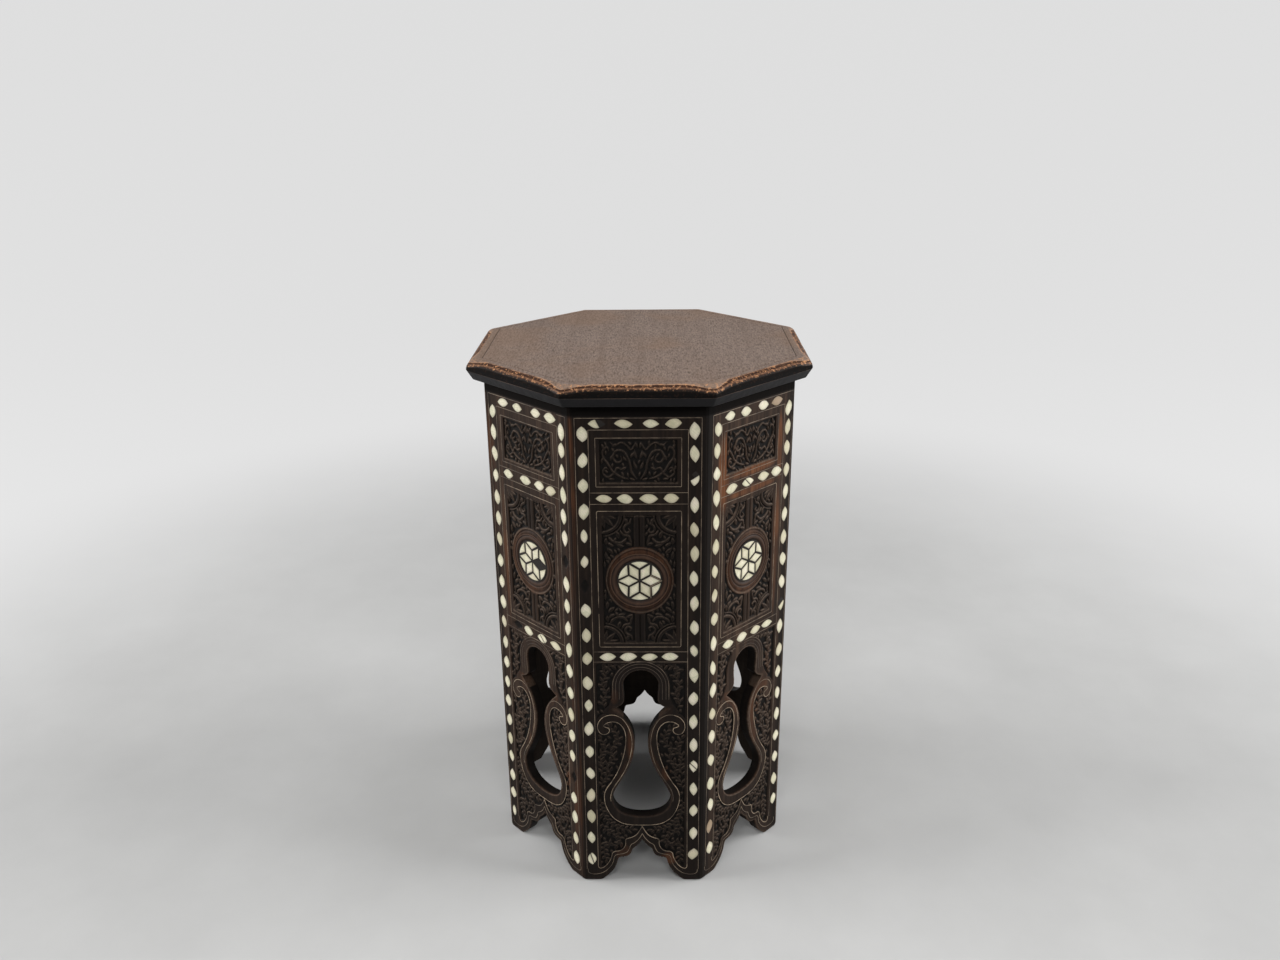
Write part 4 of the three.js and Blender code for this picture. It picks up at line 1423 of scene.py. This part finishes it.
def screw_steel():
    """Old screw steel with rust in patches."""
    s = Shader("screw_steel")
    patches = s.noise(420, 4)
    colour = s.blend(s.span(patches, 0.45, 0.6), (122, 118, 112), (98, 60, 40))
    s.bump(patches, 0.3, 0.0002)
    return s.finish(colour, s.span(patches, 0.3, 0.7, 0.4, 0.7), Metallic=0.7)


# Room, in metres
FLOOR_R = 2.0
WALL_R = 3.4
WALL_HIGH = 3.2
WALL_GLOW = 0.68
WALL_COLOUR = (84, 84, 84)
WORLD_LIGHT = 0.03
STOOL_MIDDLE = (0, 0, 0.22)
# Lamps: place, what each points at, width and height, watts
LAMPS = {
    "left_softbox": ((-2.9, -0.1, 1.3), STOOL_MIDDLE, (1.8, 0.45), 74),
    "right_softbox": ((2.9, -0.1, 1.3), STOOL_MIDDLE, (1.8, 0.45), 84),
    "front_softbox": ((0, -1.43, 1.45), (0, -0.1, 0.05), (0.9, 0.25), 11),
    "overhead_softbox": ((0, -0.05, 2.2), STOOL_MIDDLE, (1.8, 1.8), 12),
}


def studio():
    """A pale floor that curves up into a wall all round, and the wall shows white to the camera."""
    profile = [(0.4, 0.0), (FLOOR_R, 0.0)]
    reach = WALL_R - FLOOR_R
    for a in map(math.radians, np.linspace(0, 90, 14)[1:]):
        profile.append((FLOOR_R + reach * math.sin(a), reach * (1 - math.cos(a))))
    profile.append((WALL_R, WALL_HIGH))
    rings = [np.column_stack([r * np.cos(ROUND), r * np.sin(ROUND), 0 * ROUND + z]) for r, z in profile]
    points, quads, tris = join_rings(rings, [(0, 0, 0)])
    room = build("studio_floor", points, quads[:, ::-1], tris[:, ::-1])
    s = Shader("pale_floor")
    pale = s.ramp(s.noise(6, 5, 0.6), (0.3, 196, 196, 195), (0.7, 204, 204, 203))
    away = s.span(s.make("VectorMath", "Value", {0: s.coordinates}, operation="LENGTH"), 0.55, 1.4)
    rays = s.tree.nodes.new("ShaderNodeLightPath").outputs
    mirrors = s.math("MAXIMUM", rays["Is Glossy Ray"], rays["Is Transmission Ray"])
    seen = s.math("MAXIMUM", rays["Is Camera Ray"], mirrors)
    glow = s.times(s.times(away, WALL_GLOW), seen)
    colour = s.blend(away, pale, WALL_COLOUR)
    finish = s.finish(colour, 0.85, 0.2, Emission_Strength=glow, Emission_Color=(255, 255, 255))
    room.data.materials.append(finish)


def lights():
    """Four soft lamps and a dim world."""
    for name, (place, target, size, power) in LAMPS.items():
        data = bpy.data.lights.new(name, "AREA")
        data.shape = "RECTANGLE"
        data.size, data.size_y = size
        data.energy = power
        made = stand(name, data)
        made.location = place
        made.rotation_euler = (Vector(target) - Vector(place)).to_track_quat("-Z", "Y").to_euler()
    world = bpy.data.worlds.new("soft_world")
    world.use_nodes = True
    background = world.node_tree.nodes["Background"].inputs
    background["Color"].default_value = (1, 1, 1, 1)
    background["Strength"].default_value = WORLD_LIGHT
    bpy.context.scene.world = world


# Camera, solved from the octagon's edges: place in metres, angles in radians
CAMERA_PLACE = (0.01374, -0.92232, 0.70181)
CAMERA_YAW = -0.0160
CAMERA_PITCH = 0.3653
CAMERA_ROLL = -0.0099
CAMERA_LENS = 29.91
SENSOR = 36.0


def camera():
    """The camera of the photograph."""
    yaw, pitch = CAMERA_YAW, CAMERA_PITCH
    ahead = Vector((math.sin(yaw) * math.cos(pitch), math.cos(yaw) * math.cos(pitch), -math.sin(pitch)))
    level = Vector((math.cos(yaw), -math.sin(yaw), 0))
    upright = level.cross(ahead)
    right = math.cos(CAMERA_ROLL) * level + math.sin(CAMERA_ROLL) * upright
    up = -math.sin(CAMERA_ROLL) * level + math.cos(CAMERA_ROLL) * upright
    data = bpy.data.cameras.new("photo_view")
    data.sensor_width = SENSOR
    data.lens = CAMERA_LENS
    made = stand("photo_view", data)
    turn = Matrix((right, up, -ahead)).transposed().to_4x4()
    made.matrix_world = Matrix.Translation(CAMERA_PLACE) @ turn
    bpy.context.scene.camera = made


def main():
    camera()
    wood, rim_wood, pearl, dark = carved_walnut(), turned_walnut(), mother_of_pearl(), mastic()
    metal, inner, steel = stringing_metal(), shade_darkened_bare_wood(), screw_steel()
    field = Field(face_columns(), face_rows())
    face = cut_face(field)
    for side in range(SIDES):
        name = side + 1
        pearls = pearl_places(side, np.random.default_rng(SEED * 13 + side))
        dress(carved_board(side, field, face, pearls), "carved_walnut", [wood, inner], f"side_board_{name}")
        dress(board_pearls(side, pearls), "pearl", [pearl, dark])
        dress(board_wires(side), "stringing", [metal])
        dress(turned_disc(side), "medallion_wood", [rim_wood], f"medallion_{name}")
        dress(pearl_star(side), "pearl", [pearl, dark, metal], f"pearl_star_{name}")
    dress(top_board(), "top_walnut", [top_walnut(), inner, dark_edge()], "top_board")
    for name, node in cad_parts.items():
        finish = steel if name.startswith("top_screw") else inner
        node.data.materials.clear()
        node.data.materials.append(finish)
    studio()
    lights()
    bpy.context.scene.view_settings.view_transform = "Standard"


main()
